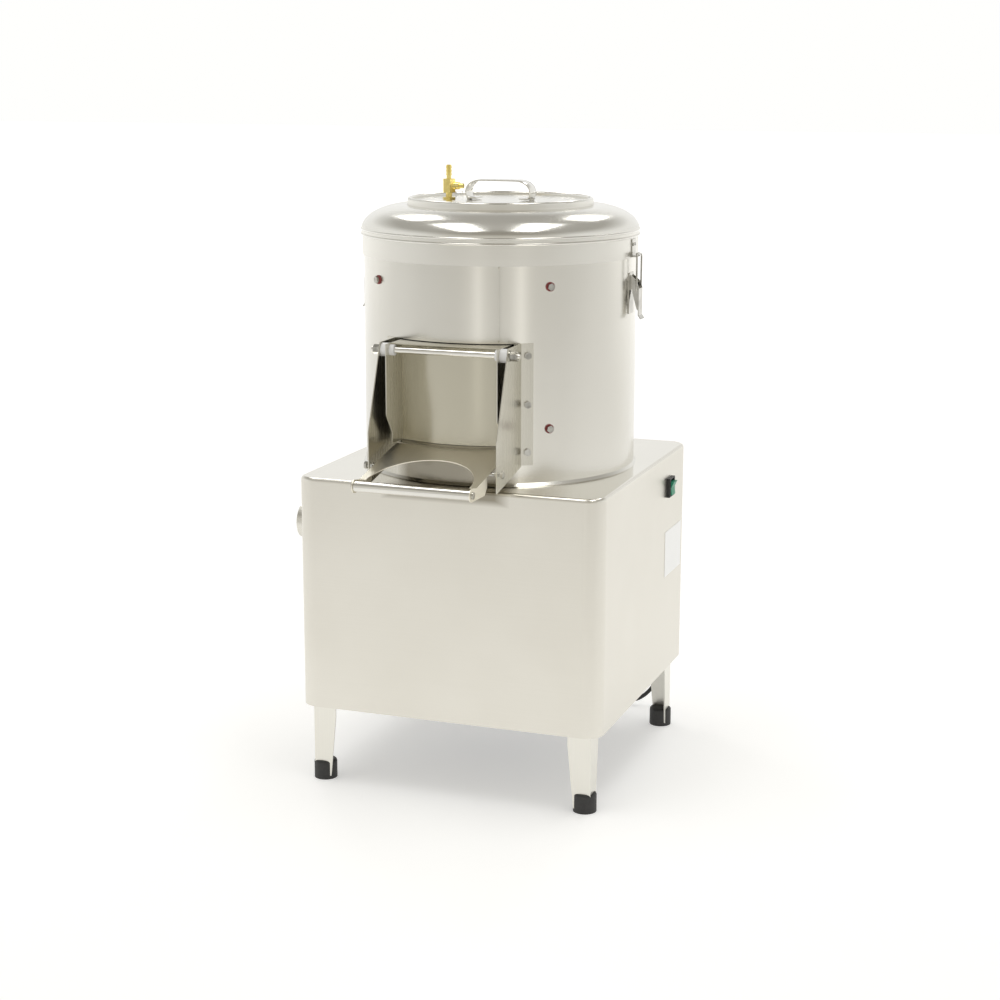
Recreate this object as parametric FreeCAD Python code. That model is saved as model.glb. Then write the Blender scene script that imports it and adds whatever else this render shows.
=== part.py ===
import FreeCAD, Part
import math
import os

Vec = FreeCAD.Vector

# Electric potato peeler: a drum with a rotating abrasive disc on a belt drive cabinet, with a
# lid, a discharge door and a drain. Sizes in millimetres. The machine is described about the
# drum's axis, with the floor at z = 0 and the discharge door towards -Y.

# Clearances
fit = 0.05
gap = 0.3
sheet = 1.5

# Cabinet
cabinet_half = 250.0
cabinet_bottom = 127.0
cabinet_top = 500.0
cabinet_corner = 28.0
cabinet_edge = 6.0
cabinet_lip = 14.0

# Legs, feet and base frame
leg_sheet = 2.0
leg_inset = 17.0
leg_width_top = 38.0
leg_width_foot = 28.0
leg_straight = 20.0
leg_overlap = 30.0
foot_radius = 18.5
foot_height = 30.5
foot_floor = 6.0
foot_inset = 13.0
frame_sheet = 3.0
frame_height = 30.0
rail_height = 12.0
rail_width = 14.0

# Fasteners: half of the width across flats, head height and shank radius
m8_flat = 6.5
m8_head = 5.3
m8_shank = 4.0
m6_flat = 5.0
m6_head = 4.0
m6_shank = 3.0
m5_shank = 2.5
m5_head_radius = 4.5
m5_head = 2.7

# Drum
drum_radius = 217.5
drum_bottom = 366.0
drum_top = 861.0
drum_floor_sheet = 2.0
drum_bead = 4.0
door_opening_half = 93.0
door_opening_bottom = 556.0
door_opening_top = 718.5

# Abrasive liners on the drum wall
liner_thickness = 4.0
liner_bottom = 548.0
liner_top = 830.0
liner_front_half = 117.6
liner_end_gap = 1.0
liner_screw_angles = (40.0, 140.0)
liner_screw_heights = (587.0, 803.5)
liner_washer_radius = 7.0
liner_washer = 2.0

# Drain
drain_y = -117.0
drain_z = 398.5
drain_radius = 28.5
drain_wall = 2.0
drain_end = 300.0
grommet_groove = 2.5
grommet_flange = 6.0
grommet_lip = 3.0
hose_bead_radius = 31.0
hose_bead_width = 3.0

# Disc drive
disc_rim_gap = 11.0
disc_bottom = 516.0
disc_plate = 8.0
disc_wave_height = 14.0
disc_wave_width = 46.0
disc_hub_radius = 30.0
disc_hub_length = 28.0
wiper_height = 60.0
wiper_thickness = 6.0
shaft_radius = 15.0
shaft_top_radius = 12.5
shaft_thread = 8.0
shaft_bottom = 140.0
bearing_radius = 31.0
bearing_length = 18.0
seal_length = 8.0
housing_radius = 38.0
housing_flange_radius = 72.0
housing_flange = 8.0
housing_bottom = 240.0
housing_bolt_circle = 56.0
nut_flat = 12.0
nut_height = 10.0

# Belt drive and motor
pulley_radius = 90.0
motor_pulley_radius = 25.0
pulley_bottom = 147.0
pulley_width = 22.0
groove_depth = 9.0
groove_half_out = 7.0
groove_half_in = 4.0
belt_inset = 1.0
pulley_web = 8.0
pulley_rim = 16.0
motor_y = 150.0
motor_radius = 62.0
motor_fin = 3.0
motor_length = 120.0
motor_shaft_radius = 9.5
motor_plate_size = 160.0
motor_plate_sheet = 5.0
motor_bolt_circle = 50.0
motor_flange_radius = 60.0
motor_flange = 8.0
fan_length = 34.0
fan_radius = 50.0

# Discharge chute
cheek_inner = 102.0
cheek_flange_end = 119.0
cheek_flange_bottom = 532.0
cheek_top = 719.0
cheek_top_reach = 33.5
cheek_knee_reach = 82.5
cheek_knee_z = 587.0
cheek_bottom_front = 509.0
cheek_bottom_back = 530.0
cheek_bolt_x = 111.3
cheek_bolt_heights = (700.8, 625.9, 552.5)

# Discharge door on its pivot rod
pivot_reach = 25.5
pivot_z = 707.0
pivot_radius = 5.0
pivot_thread = 4.0
pivot_end = 119.0
arm_outer = 90.0
arm_front_reach = 43.5
arm_top = 717.4
arm_slope_top = 609.0
arm_foot_reach = 21.5
arm_slope_bottom = 579.0
arm_bottom = 562.0
bush_inner_radius = 8.5
bush_inner_length = 7.0
bush_barrel_radius = 6.8
bush_outer_radius = 10.5
tray_half = 93.0
tray_back_reach = -3.5
tray_front_reach = 139.5
tray_front_z = 529.0
tray_slope = 11.4
tray_cut_radius = 82.0
tray_cut_depth = 90.0
tray_side_reach = 95.5
tray_side_bottom = 511.0
bar_reach = 158.5
bar_z = 522.0
bar_radius = 8.0
nose_radius = 10.0
stop_bolt_reach = 75.5
stop_bolt_inner = 89.0

# Lid
lid_over_drum = 2.5
lid_skirt_bottom = 835.0
lid_skirt_cone = 10.0
lid_bead_bottom = 868.0
lid_bead_top = 875.0
lid_bead_out = 1.5
dome_centre_radius = 150.0
dome_rise = 38.0
platform_radius = 148.0
platform_top = 924.0
platform_rim = 7.0
platform_floor = 919.0
lid_lift = 120.0
gasket_width = 4.5
gasket_height = 8.0

# Lid handle
handle_half = 61.0
handle_foot = 17.0
handle_top_half = 34.0
handle_top = 952.0
handle_width = 18.0
handle_sheet = 2.0
rivet_radius = 3.5
rivet_head = 1.5

# Water inlet valve
valve_x = -84.0
valve_y = -10.0
valve_pipe = 5.0
valve_nut = 3.0
valve_neck = 10.0
valve_body_height = 22.0
valve_body_flat = 9.5
barb_length = 22.0
barb_radius = 5.0
barb_bore = 3.0
valve_stem_radius = 4.0
valve_stem_end = -59.0
valve_boss_radius = 6.0
valve_boss_end = -66.0
nozzle_radius = 11.0
nozzle_length = 14.0
nozzle_face = 2.0

# Toggle latches
latch_angles = (0.0, 180.0)
latch_half = 13.0
latch_base_bottom = 748.0
latch_base_top = 812.0
latch_pin_out = 6.0
latch_pin_z = 797.0
latch_pin_radius = 2.0
latch_ear_outer = 8.5
latch_ear_sheet = 1.5
lever_out = 13.5
lever_half = 10.5
lever_bottom = 740.0
lever_web_top = 788.0
lever_tip = 5.0
bail_radius = 1.5
bail_out = 10.3
bail_pivot_z = 785.0
bail_top = 841.0
bail_half = 12.8
bail_bend = 2.2
bail_crown_bend = 5.0
keeper_half = 9.0
keeper_bottom = 836.5
keeper_top = 864.0
keeper_lip = 843.0

# Switch and rating plate
switch_y = 134.0
switch_z = 444.5
bezel_half_y = 15.5
bezel_half_z = 16.0
bezel_depth = 6.5
bezel_frame = 3.5
switch_back = 24.0
rocker_pivot_in = 1.0
rocker_half_y = 11.0
rocker_half_z = 11.4
rocker_face_out = 10.0
rocker_waist_out = 7.0
rocker_back_in = 6.0
rocker_tilt = 8.0
plate_y = 165.5
plate_z = 331.0
plate_half_y = 50.0
plate_half_z = 38.5
plate_thick = 0.6

# Mains cord
cord_radius = 3.5
gland_x = 205.0
gland_z = 165.0
gland_hex = 11.0
gland_hex_length = 6.0
gland_dome_radius = 9.0
gland_length = 20.0
coil_x = 30.0
coil_y = 352.0
coil_outer = 50.0
coil_half_turns = 5
coil_step = 7.8
coil_climb = 7.7
plug_radius = 18.5
plug_length = 34.0
plug_neck_radius = 7.0
plug_neck_length = 18.0
plug_pin_radius = 2.4
plug_pin_length = 19.0
plug_pin_spacing = 19.0

# Sizes worked out from the ones above
drum_inner = drum_radius - sheet
disc_radius = drum_inner - disc_rim_gap
liner_front_angle = math.degrees(math.asin(liner_front_half / drum_inner))
cheek_top_front = -drum_radius - cheek_top_reach
cheek_knee_y = -drum_radius - cheek_knee_reach
pivot_y = -drum_radius - pivot_reach
arm_front = -drum_radius - arm_front_reach
arm_foot_y = -drum_radius - arm_foot_reach
tray_back_y = -drum_radius - tray_back_reach
tray_front_y = -drum_radius - tray_front_reach
tray_side_back = -drum_radius - tray_side_reach
bar_y = -drum_radius - bar_reach
stop_bolt_y = -drum_radius - stop_bolt_reach
lid_radius = drum_radius + lid_over_drum
lid_bead_radius = lid_radius + lid_bead_out
latch_pin_x = lid_radius + latch_pin_out
lever_outer = lid_radius + lever_out
bail_x = lid_radius + bail_out
valve_body_bottom = platform_floor + valve_neck
valve_body_top = valve_body_bottom + valve_body_height
valve_stem_z = (valve_body_bottom + valve_body_top) / 2
barb_top = valve_body_top + barb_length
rocker_pivot_x = cabinet_half - rocker_pivot_in
rocker_face = cabinet_half + rocker_face_out
rocker_waist = cabinet_half + rocker_waist_out
rocker_back = cabinet_half - rocker_back_in
drum_floor_top = drum_bottom + 2 * drum_floor_sheet
leg_face = cabinet_half - leg_inset
leg_inner = leg_face - leg_sheet
leg_top = cabinet_bottom + leg_overlap
foot_centre = leg_face - foot_inset
frame_bottom = cabinet_bottom + sheet
frame_top = frame_bottom + frame_height
cabinet_inner = cabinet_half - sheet
plate_bottom = pulley_bottom + pulley_width + rail_height + 4 * gap
plate_top = plate_bottom + motor_plate_sheet
motor_top = plate_top + motor_flange + motor_length
housing_top = disc_bottom - disc_hub_length - 4 * gap
disc_top = disc_bottom + disc_plate
arm_inner = arm_outer - sheet
rocker_reach = rocker_face - rocker_pivot_x
rocker_lean = math.radians(rocker_tilt)
switch_out = rocker_pivot_x + rocker_reach * math.cos(rocker_lean) + rocker_half_z * math.sin(rocker_lean)
bar_half = tray_half - sheet - gap
object_left = -drain_end
object_right = switch_out
object_front = bar_y - nose_radius
object_back = cabinet_half
origin = Vec((object_left + object_right) / 2, (object_front + object_back) / 2, 0)


def box(x0, x1, y0, y1, z0, z1):
    return Part.makeBox(x1 - x0, y1 - y0, z1 - z0, Vec(x0, y0, z0))


def pillar(x, y, radius, z0, z1):
    return Part.makeCylinder(radius, z1 - z0, Vec(x, y, z0), Vec(0, 0, 1))


def rod_x(y, z, radius, x0, x1):
    return Part.makeCylinder(radius, x1 - x0, Vec(x0, y, z), Vec(1, 0, 0))


def rod_y(x, z, radius, y0, y1):
    return Part.makeCylinder(radius, y1 - y0, Vec(x, y0, z), Vec(0, 1, 0))


def ring(outer, inner, z0, z1, x=0.0, y=0.0):
    return pillar(x, y, outer, z0, z1).cut(pillar(x, y, inner, z0, z1))


def prism_x(points, x0, x1):
    corners = [Vec(x0, y, z) for y, z in points]
    face = Part.Face(Part.makePolygon(corners + corners[:1]))
    return face.extrude(Vec(x1 - x0, 0, 0))


def prism_y(points, y0, y1):
    corners = [Vec(x, y0, z) for x, z in points]
    face = Part.Face(Part.makePolygon(corners + corners[:1]))
    return face.extrude(Vec(0, y1 - y0, 0))


def prism_z(points, z0, z1):
    corners = [Vec(x, y, z0) for x, y in points]
    face = Part.Face(Part.makePolygon(corners + corners[:1]))
    return face.extrude(Vec(0, 0, z1 - z0))


def hexagon(flat, height):
    radius = flat / math.cos(math.pi / 6)
    points = [(radius * math.cos(k * math.pi / 3), radius * math.sin(k * math.pi / 3)) for k in range(6)]
    return prism_z(points, 0, height)


def turned(shape, angle):
    copy = shape.copy()
    copy.rotate(Vec(0, 0, 0), Vec(0, 0, 1), angle)
    return copy


def mirrored(shape):
    return shape.mirror(Vec(0, 0, 0), Vec(1, 0, 0))


def both_sides(shape):
    return [shape, mirrored(shape)]


def aimed(shape, place, direction):
    """Moves a shape built along +Z so that it starts at place and points along direction."""
    copy = shape.copy()
    copy.Placement = FreeCAD.Placement(place, FreeCAD.Rotation(Vec(0, 0, 1), direction))
    return copy


def hex_bolt(place, direction, flat, head, shank, length):
    """A bolt whose head's underside is at place, with its shank along -direction."""
    solid = hexagon(flat, head).fuse(pillar(0, 0, shank, -length, 0))
    return aimed(solid, place, direction)


def pan_screw(place, direction, head_radius, head, shank, length):
    solid = pillar(0, 0, head_radius, 0, head).fuse(pillar(0, 0, shank, -length, 0))
    return aimed(solid, place, direction)


def revolved(edges):
    return Part.Face(Part.Wire(edges)).revolve(Vec(0, 0, 0), Vec(0, 0, 1), 360)


def line(a, b):
    return Part.LineSegment(a, b).toShape()


def arc(a, b, c):
    return Part.Arc(a, b, c).toShape()


def rounded_path(points, radii):
    """Straight runs joined by tangent arcs, one radius for each inner point."""
    edges = []
    start = points[0]
    for before, corner, after, radius in zip(points, points[1:], points[2:], radii):
        back = (before - corner).normalize()
        ahead = (after - corner).normalize()
        half = back.getAngle(ahead) / 2
        reach = radius / math.tan(half)
        first = corner + back * reach
        last = corner + ahead * reach
        inward = (back + ahead).normalize()
        middle = corner + inward * (radius / math.sin(half) - radius)
        edges.append(line(start, first))
        edges.append(arc(first, middle, last))
        start = last
    edges.append(line(start, points[-1]))
    return Part.Wire(edges)


def swept(path, section):
    return path.makePipeShell([section], True, False)


def round_section(place, direction, radius):
    return Part.Wire(Part.Circle(place, direction, radius).toShape())


def tube_along(points, radii, radius):
    path = rounded_path(points, radii)
    return swept(path, round_section(points[0], points[1] - points[0], radius))


# Cabinet, base frame, legs and feet

def rounded_block(half, corner, edge, z0, z1):
    block = box(-half, half, -half, half, z0, z1)
    uprights = [e for e in block.Edges if e.BoundBox.ZLength > z1 - z0 - 1]
    block = block.makeFillet(corner, uprights)
    rim = [e for e in block.Edges if e.BoundBox.ZMin > z1 - 0.01]
    return block.makeFillet(edge, rim)


def cabinet_shell():
    shell = rounded_block(cabinet_half, cabinet_corner, cabinet_edge, cabinet_bottom, cabinet_top)
    inner_corner = cabinet_corner - sheet
    inner_edge = cabinet_edge - sheet
    inside = rounded_block(cabinet_inner, inner_corner, inner_edge, frame_bottom, cabinet_top - sheet)
    mouth_half = cabinet_half - cabinet_lip
    mouth = box(-mouth_half, mouth_half, -mouth_half, mouth_half, cabinet_bottom - 1, frame_bottom + 1)
    drum_hole = pillar(0, 0, drum_radius + gap, cabinet_top - 2 * sheet, cabinet_top + 1)
    drain_hole_radius = drain_radius + grommet_groove + gap
    drain_hole = rod_x(drain_y, drain_z, drain_hole_radius, -cabinet_half - 1, -cabinet_inner + 1)
    gland_hole = rod_y(gland_x, gland_z, gland_dome_radius, cabinet_inner - 1, cabinet_half + 1)
    shell = shell.cut(inside).cut(mouth).cut(drum_hole).cut(drain_hole).cut(gland_hole)
    return shell.cut(switch_body(gap))


def leg_profile(width, bottom, top):
    face_points = [
        (leg_face - leg_width_foot, bottom),
        (leg_face - width, cabinet_bottom - leg_straight),
        (leg_face - width, top),
        (leg_face, top),
        (leg_face, bottom),
    ]
    return face_points


def leg():
    points = leg_profile(leg_width_top, foot_floor, leg_top)
    along_x = prism_y(points, leg_inner, leg_face)
    along_y = prism_x(points, leg_inner, leg_face)
    return along_x.fuse(along_y).removeSplitter()


def leg_bolt_places():
    along = leg_face - leg_width_top / 2
    height = frame_bottom + frame_height / 2
    return [(Vec(along, leg_face, height), Vec(0, 1, 0)), (Vec(leg_face, along, height), Vec(1, 0, 0))]


def leg_holes(solid):
    for place, direction in leg_bolt_places():
        hole = pillar(0, 0, m8_shank + fit, -3 * frame_sheet, frame_sheet)
        solid = solid.cut(aimed(hole, place, direction))
    return solid


def at_corners(shape):
    return [turned(shape, 90 * k) for k in range(4)]


def legs():
    return at_corners(leg_holes(leg()))


def foot():
    body = pillar(foot_centre, foot_centre, foot_radius, 0, foot_height)
    rim = [e for e in body.Edges if e.BoundBox.ZMin > foot_height - 0.01 and e.Curve.TypeId == "Part::GeomCircle"]
    body = body.makeFillet(2 * leg_sheet, rim)
    return body.cut(leg())


def frame_bolts():
    bolts = []
    for place, direction in leg_bolt_places():
        length = leg_sheet + 2 * frame_sheet
        bolts.append(hex_bolt(place, direction, m8_flat, m8_head, m8_shank, length))
    bolts = [turned(bolt, 90 * k) for bolt in bolts for k in range(4)]
    for k in range(4):
        angle = math.radians(45 + 90 * k)
        out = Vec(math.cos(angle), math.sin(angle), 0)
        under_flange = out * housing_bolt_circle + Vec(0, 0, drum_bottom - housing_flange)
        grip = housing_flange + drum_floor_sheet
        bolts.append(hex_bolt(under_flange, Vec(0, 0, -1), m8_flat, m8_head, m8_shank, grip))
        under_plate = out * motor_bolt_circle + Vec(0, motor_y, plate_bottom)
        grip = motor_plate_sheet + motor_flange
        bolts.append(hex_bolt(under_plate, Vec(0, 0, -1), m8_flat, m8_head, m8_shank, grip))
    return bolts


def base_frame():
    outer = leg_inner
    inner = outer - frame_sheet
    upright = box(-outer, outer, -outer, outer, frame_bottom, frame_top)
    upright = upright.cut(box(-inner, inner, -inner, inner, frame_bottom, frame_top))
    reach = cabinet_inner - gap
    shelf = box(-reach, reach, -reach, reach, frame_bottom, frame_bottom + frame_sheet)
    shelf = shelf.cut(box(-inner, inner, -inner, inner, frame_bottom, frame_top))
    corner = cabinet_corner
    for k in range(4):
        shelf = shelf.cut(turned(box(reach - corner, reach, reach - corner, reach, frame_bottom, frame_top), 90 * k))
    frame = upright.fuse(shelf)
    for rail_y in rail_places():
        rail_top = plate_bottom
        rail_base = plate_bottom - rail_height
        frame = frame.fuse(box(-inner, inner, rail_y, rail_y + rail_width, rail_base, rail_top))
        for side in (-1, 1):
            x0, x1 = sorted((side * inner, side * outer))
            frame = frame.fuse(box(x0, x1, rail_y, rail_y + rail_width, frame_bottom, rail_top))
    for leg_solid in at_corners(leg()):
        frame = frame.cut(leg_solid)
    for k in range(4):
        for place, direction in leg_bolt_places():
            hole = aimed(pillar(0, 0, m8_shank + fit, -3 * frame_sheet, frame_sheet), place, direction)
            frame = frame.cut(turned(hole, 90 * k))
    return frame.removeSplitter()


def rail_places():
    return (motor_y - motor_plate_size / 2 + gap, motor_y + motor_plate_size / 2 - rail_width)


# Drum, liners and drain

def drum_shell():
    wall = ring(drum_radius, drum_inner, drum_bottom, drum_top)
    profile = [
        line(Vec(drum_radius, 0, cabinet_top), Vec(drum_radius + drum_bead, 0, cabinet_top)),
        line(Vec(drum_radius + drum_bead, 0, cabinet_top), Vec(drum_radius, 0, cabinet_top + drum_bead)),
        line(Vec(drum_radius, 0, cabinet_top + drum_bead), Vec(drum_radius, 0, cabinet_top)),
    ]
    wall = wall.fuse(revolved(profile))
    opening = box(-door_opening_half, door_opening_half, -drum_radius - 1, -drum_radius / 2,
                  door_opening_bottom, door_opening_top)
    bore = rod_x(drain_y, drain_z, drain_radius - drain_wall, -drum_radius - 1, -drum_radius / 2)
    wall = wall.cut(opening).cut(bore)
    for angle, height in liner_screw_places():
        wall = wall.cut(radial_rod(angle, height, m6_shank + fit))
    for x in (-cheek_bolt_x, cheek_bolt_x):
        for height in cheek_bolt_heights:
            wall = wall.cut(radial_rod(angle_at_front(x), height, m6_shank + fit))
    return wall


def angle_at_front(x):
    """The angle about the drum's axis of a point on the drum's front at this x."""
    return math.degrees(math.atan2(-math.sqrt(drum_radius ** 2 - x ** 2), x))


def radial_rod(angle, height, radius):
    rod = rod_x(0, height, radius, drum_inner - liner_thickness - 1, drum_radius + 2 * sheet)
    return turned(rod, angle)


def liner_screw_places():
    places = []
    for from_front in liner_screw_angles:
        for side in (-1, 1):
            for height in liner_screw_heights:
                places.append((-90 + side * from_front, height))
    return places


def drum_floor():
    floor = pillar(0, 0, drum_inner - fit, drum_bottom, drum_bottom + drum_floor_sheet)
    rim = ring(drum_inner - fit, drum_inner - drum_floor_sheet, drum_bottom, drum_floor_top)
    floor = floor.fuse(rim).cut(pillar(0, 0, housing_radius + fit, drum_bottom, drum_floor_top))
    for k in range(4):
        hole = pillar(housing_bolt_circle, 0, m8_shank + fit, drum_bottom, drum_floor_top)
        floor = floor.cut(turned(hole, 45 + 90 * k))
    return floor


def liner_segment(first, last):
    inner = drum_inner - liner_thickness
    span = last - first
    outer_block = Part.makeCylinder(drum_inner - fit, liner_top - liner_bottom, Vec(0, 0, liner_bottom),
                                    Vec(0, 0, 1), span)
    inner_block = Part.makeCylinder(inner, liner_top - liner_bottom, Vec(0, 0, liner_bottom),
                                    Vec(0, 0, 1), span)
    segment = turned(outer_block.cut(inner_block), first)
    for angle, height in liner_screw_places():
        segment = segment.cut(radial_rod(angle, height, m6_shank + fit))
    return segment


def abrasive_liners():
    front = liner_front_angle
    ends = ((front, 90 - liner_end_gap), (90 + liner_end_gap, 180 - liner_end_gap))
    segments = []
    for first, last in ends:
        segments.append(liner_segment(-90 + first, -90 + last))
        segments.append(liner_segment(-90 - last, -90 - first))
    return segments


def liner_screws():
    screws = []
    for angle, height in liner_screw_places():
        out = Vec(math.cos(math.radians(angle)), math.sin(math.radians(angle)), 0)
        place = out * (drum_radius + liner_washer) + Vec(0, 0, height)
        length = liner_washer + sheet + liner_thickness
        screws.append(hex_bolt(place, out, m6_flat, m6_head, m6_shank, length))
    return screws


def liner_washers():
    washers = []
    for angle, height in liner_screw_places():
        washer = rod_x(0, height, liner_washer_radius, drum_radius - sheet, drum_radius + liner_washer)
        washer = washer.cut(rod_x(0, height, m6_shank + fit, drum_inner, drum_radius + 2 * liner_washer))
        washers.append(turned(washer, angle).cut(pillar(0, 0, drum_radius, drum_bottom, drum_top)))
    return washers


def drain_pipe():
    pipe = rod_x(drain_y, drain_z, drain_radius, -drain_end, -drum_radius / 2)
    bead_end = -cabinet_half - grommet_lip - gap
    pipe = pipe.fuse(rod_x(drain_y, drain_z, hose_bead_radius, bead_end - hose_bead_width, bead_end))
    pipe = pipe.cut(rod_x(drain_y, drain_z, drain_radius - drain_wall, -drain_end, -drum_radius / 2))
    return pipe.cut(pillar(0, 0, drum_radius, drum_bottom - drain_radius, cabinet_top))


def drain_grommet():
    hole_radius = drain_radius + grommet_groove
    flange_radius = drain_radius + grommet_flange
    body = rod_x(drain_y, drain_z, hole_radius, -cabinet_half - grommet_lip, -cabinet_inner + grommet_lip)
    outside = rod_x(drain_y, drain_z, flange_radius, -cabinet_half - grommet_lip, -cabinet_half)
    inside = rod_x(drain_y, drain_z, flange_radius, -cabinet_inner, -cabinet_inner + grommet_lip)
    bore = rod_x(drain_y, drain_z, drain_radius + fit, -drain_end, -drum_radius)
    return body.fuse(outside).fuse(inside).cut(bore).removeSplitter()


# Disc drive

def bearing_housing():
    body = pillar(0, 0, housing_radius, housing_bottom, housing_top)
    flange = pillar(0, 0, housing_flange_radius, drum_bottom - housing_flange, drum_bottom)
    body = body.fuse(flange)
    body = body.cut(pillar(0, 0, shaft_radius + 2 * gap, housing_bottom, housing_top))
    lower_seat = pillar(0, 0, bearing_radius, housing_bottom, housing_bottom + bearing_length)
    upper_end = housing_top - bearing_length - seal_length
    upper_seat = pillar(0, 0, bearing_radius, upper_end, housing_top)
    body = body.cut(lower_seat).cut(upper_seat)
    for k in range(4):
        hole = pillar(housing_bolt_circle, 0, m8_shank + fit, drum_bottom - housing_flange, drum_bottom)
        body = body.cut(turned(hole, 45 + 90 * k))
    return body


def shaft_bearings():
    outer = bearing_radius - fit
    inner = shaft_radius + fit
    upper_end = housing_top - seal_length - bearing_length
    lower = ring(outer, inner, housing_bottom, housing_bottom + bearing_length)
    upper = ring(outer, inner, upper_end, upper_end + bearing_length)
    return [lower, upper]


def shaft_seal():
    return ring(bearing_radius - fit, shaft_radius + fit, housing_top - seal_length, housing_top)


def main_shaft():
    shoulder = housing_top + gap
    shaft = pillar(0, 0, shaft_radius, shaft_bottom, shoulder)
    shaft = shaft.fuse(pillar(0, 0, shaft_top_radius, shoulder, disc_top))
    thread_top = disc_top + nut_height + sheet
    return shaft.fuse(pillar(0, 0, shaft_thread, disc_top, thread_top))


def disc_wave(angle):
    """A raised wave across the disc, from its hub out to its rim."""
    half = disc_wave_width / 2
    height = disc_top + disc_wave_height
    near = disc_hub_radius + nut_flat
    crest = arc(Vec(near, -half, disc_top), Vec(near, 0, height), Vec(near, half, disc_top))
    base = line(Vec(near, half, disc_top), Vec(near, -half, disc_top))
    wave = Part.Face(Part.Wire([crest, base])).extrude(Vec(disc_radius, 0, 0))
    wave = wave.common(pillar(0, 0, disc_radius - disc_plate, disc_top, height + 1))
    return turned(wave, angle)


def peeling_disc():
    disc = pillar(0, 0, disc_radius, disc_bottom, disc_top)
    disc = disc.fuse(pillar(0, 0, disc_hub_radius, disc_bottom - disc_hub_length, disc_bottom))
    for k in range(3):
        disc = disc.fuse(disc_wave(120 * k + 90))
    for k in range(2):
        wiper = box(housing_radius + disc_hub_radius / 2, disc_radius - disc_plate, -wiper_thickness / 2,
                    wiper_thickness / 2, disc_bottom - wiper_height, disc_bottom)
        disc = disc.fuse(turned(wiper, 180 * k))
    bore = pillar(0, 0, shaft_top_radius + fit, disc_bottom - disc_hub_length, disc_top)
    return disc.cut(bore).removeSplitter()


def disc_nut():
    nut = hexagon(nut_flat, nut_height)
    nut.translate(Vec(0, 0, disc_top))
    return nut.cut(pillar(0, 0, shaft_thread + fit, disc_top, disc_top + nut_height))


def vee_groove(radius, depth, y):
    middle = pulley_bottom + pulley_width / 2
    bottom = radius - depth
    corners = [
        Vec(bottom, 0, middle - groove_half_in),
        Vec(radius, 0, middle - groove_half_out),
        Vec(radius + groove_half_out, 0, middle - groove_half_out),
        Vec(radius + groove_half_out, 0, middle + groove_half_out),
        Vec(radius, 0, middle + groove_half_out),
        Vec(bottom, 0, middle + groove_half_in),
    ]
    face = Part.Face(Part.makePolygon(corners + corners[:1]))
    groove = face.revolve(Vec(0, 0, 0), Vec(0, 0, 1), 360)
    groove.translate(Vec(0, y, 0))
    return groove


def drive_pulley():
    top = pulley_bottom + pulley_width
    wheel = pillar(0, 0, pulley_radius, pulley_bottom, top).cut(vee_groove(pulley_radius, groove_depth, 0))
    recess_outer = pulley_radius - pulley_rim
    recess = ring(recess_outer, disc_hub_radius, pulley_bottom + pulley_web + 3, top)
    low_recess = ring(recess_outer, disc_hub_radius, pulley_bottom, pulley_bottom + 3)
    wheel = wheel.cut(recess).cut(low_recess)
    hole_place = (recess_outer + disc_hub_radius) / 2
    for k in range(4):
        wheel = wheel.cut(turned(pillar(hole_place, 0, pulley_rim / 2, pulley_bottom, top), 90 * k + 45))
    return wheel.cut(pillar(0, 0, shaft_radius + fit, pulley_bottom, top))


def motor_pulley():
    top = pulley_bottom + pulley_width
    wheel = pillar(0, motor_y, motor_pulley_radius, pulley_bottom, top)
    wheel = wheel.cut(vee_groove(motor_pulley_radius, groove_depth, motor_y))
    return wheel.cut(pillar(0, motor_y, motor_shaft_radius + fit, pulley_bottom, top))


def belt_loop(inset, z0, z1):
    """A closed band round both pulleys, with its outside this far below their rims."""
    big = pulley_radius - inset
    small = motor_pulley_radius - inset
    lean = math.asin((big - small) / motor_y)
    side = math.cos(lean)
    rise = math.sin(lean)
    big_right = Vec(big * side, big * rise, z0)
    big_left = Vec(-big * side, big * rise, z0)
    small_right = Vec(small * side, motor_y + small * rise, z0)
    small_left = Vec(-small * side, motor_y + small * rise, z0)
    edges = [
        line(big_right, small_right),
        arc(small_right, Vec(0, motor_y + small, z0), small_left),
        line(small_left, big_left),
        arc(big_left, Vec(0, -big, z0), big_right),
    ]
    return Part.Face(Part.Wire(edges)).extrude(Vec(0, 0, z1 - z0))


def drive_belt():
    middle = pulley_bottom + pulley_width / 2
    half = groove_half_in - gap
    outer = belt_loop(belt_inset, middle - half, middle + half)
    return outer.cut(belt_loop(groove_depth - gap, middle - half, middle + half))


def motor_plate():
    half = motor_plate_size / 2
    plate = box(-half, half, motor_y - half, motor_y + half, plate_bottom, plate_top)
    plate = plate.cut(pillar(0, motor_y, motor_pulley_radius + gap, plate_bottom, plate_top))
    for k in range(4):
        angle = math.radians(45 + 90 * k)
        x = motor_bolt_circle * math.cos(angle)
        y = motor_y + motor_bolt_circle * math.sin(angle)
        plate = plate.cut(pillar(x, y, m8_shank + fit, plate_bottom, plate_top))
    return plate


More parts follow.
